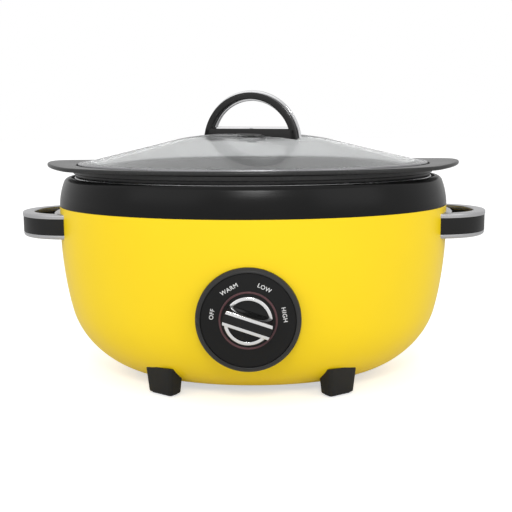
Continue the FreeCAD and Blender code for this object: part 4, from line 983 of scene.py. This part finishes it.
# The cord inlet: a short rubber bush in the back of the casing, low down behind the terminal block,
# with a round bore for a mains cord.
INLET_HEIGHT = 66.0
INLET_BORE = 3.8
BUSH_RADIUS = 9.0
BUSH_NOSE = 6.4
BUSH_BACK = 125.9
BUSH_TAPER = 0.6
BUSH_SHOULDER = 134.8
BUSH_FACE = 135.78
bm = turned(
    [
        (INLET_BORE, BUSH_BACK, 0),
        (BUSH_RADIUS, BUSH_BACK + BUSH_TAPER, 0),
        (BUSH_RADIUS, BUSH_SHOULDER, 1.2),
        (BUSH_NOSE, BUSH_FACE, 0.6),
        (INLET_BORE, BUSH_FACE, 0.5),
    ],
    steps=64,
    segments=5,
    closed=True,
)
turn(bm, math.radians(-90), "X")
shift(bm, 0, 0, INLET_HEIGHT)
inlet_rubber = black_moulding("inlet_rubber", 0.03, 0.6, grain=600.0, depth=0.04)
piece("cord_bush", bm, inlet_rubber, "base", "cord_gland", slot="gland_rubber")

# The underside and the fasteners: a plated steel cover closes the casing's bottom, drawn up by a
# stud, washer and nut; screws, plates and nuts hold the handles and the feet.


def dressed(material, *names):
    """Gives a carried-over solid its finish."""
    for name in names:
        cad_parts[name].data.materials.clear()
        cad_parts[name].data.materials.append(material)


plated_steel = bright_metal("plated_steel", (0.62, 0.62, 0.64), 0.26, 0.42, stretch=(1, 7, 1), scale=70.0)
dressed(
    plated_steel,
    "base_plate",
    "tie_stud",
    "tie_washer",
    "tie_nut",
    "handle_screws",
    "handle_backing_plates",
    "foot_screws",
    "foot_nuts",
    "heater_strap",
    "fuse_clip",
    "thermal_fuse",
    "switch_nut",
    "switch_shaft",
    "lid_handle_screw",
    "lid_under_washer",
)
dressed(black_moulding("washer_rubber", 0.10, 0.6, grain=500.0, depth=0.04), "lid_handle_pad")

# The heater: a flat mica-wound band strapped round the well, inside a thick glass-fibre wrap that
# keeps the casing cool.
mica = finish_of("mica", roughness=0.6, specular=0.4)
mica_flakes = texture(mica, 180.0, stretch=(1, 1, 3))
shades(mica, mica_flakes, (0.32, 0.25, 0.15), (0.52, 0.43, 0.29))
relief(mica, mica_flakes, 0.08)
dressed(mica, "heater_band")
glass_fibre = finish_of("glass_fibre", roughness=0.95, specular=0.2)
fibres = texture(glass_fibre, 260.0, stretch=(4, 4, 1), detail=6.0)
shades(glass_fibre, fibres, (0.62, 0.60, 0.52), (0.84, 0.82, 0.75))
relief(glass_fibre, fibres, 0.5)
dressed(glass_fibre, "insulation_wrap")

# The electrics: a rotary switch behind the dial, its brass contacts, a ceramic terminal block and
# sleeved leads to the heater through a thermal fuse.
brass = bright_metal("brass", (0.80, 0.60, 0.28), 0.22, 0.38, scale=90.0)
dressed(brass, "heater_terminals", "switch_terminals", "contact_rotor")
switch_moulding = finish_of("switch_moulding", roughness=0.55, specular=0.4)
shades(switch_moulding, texture(switch_moulding, 90.0), (0.30, 0.27, 0.22), (0.38, 0.35, 0.29))
relief(switch_moulding, texture(switch_moulding, 800.0, detail=1.0), 0.03)
dressed(switch_moulding, "switch_housing", "switch_cover")
block_ceramic = finish_of("block_ceramic", roughness=0.5, specular=0.4)
shades(block_ceramic, texture(block_ceramic, 120.0), (0.70, 0.67, 0.60), (0.80, 0.78, 0.72))
relief(block_ceramic, texture(block_ceramic, 900.0, detail=1.0), 0.03)
dressed(block_ceramic, "terminal_block")
lead_sleeve = finish_of("lead_sleeve", roughness=0.7, specular=0.3)
weave = texture(lead_sleeve, 900.0, detail=1.0)
shades(lead_sleeve, weave, (0.52, 0.50, 0.45), (0.66, 0.64, 0.58))
relief(lead_sleeve, weave, 0.08)
dressed(lead_sleeve, "lead_wires")
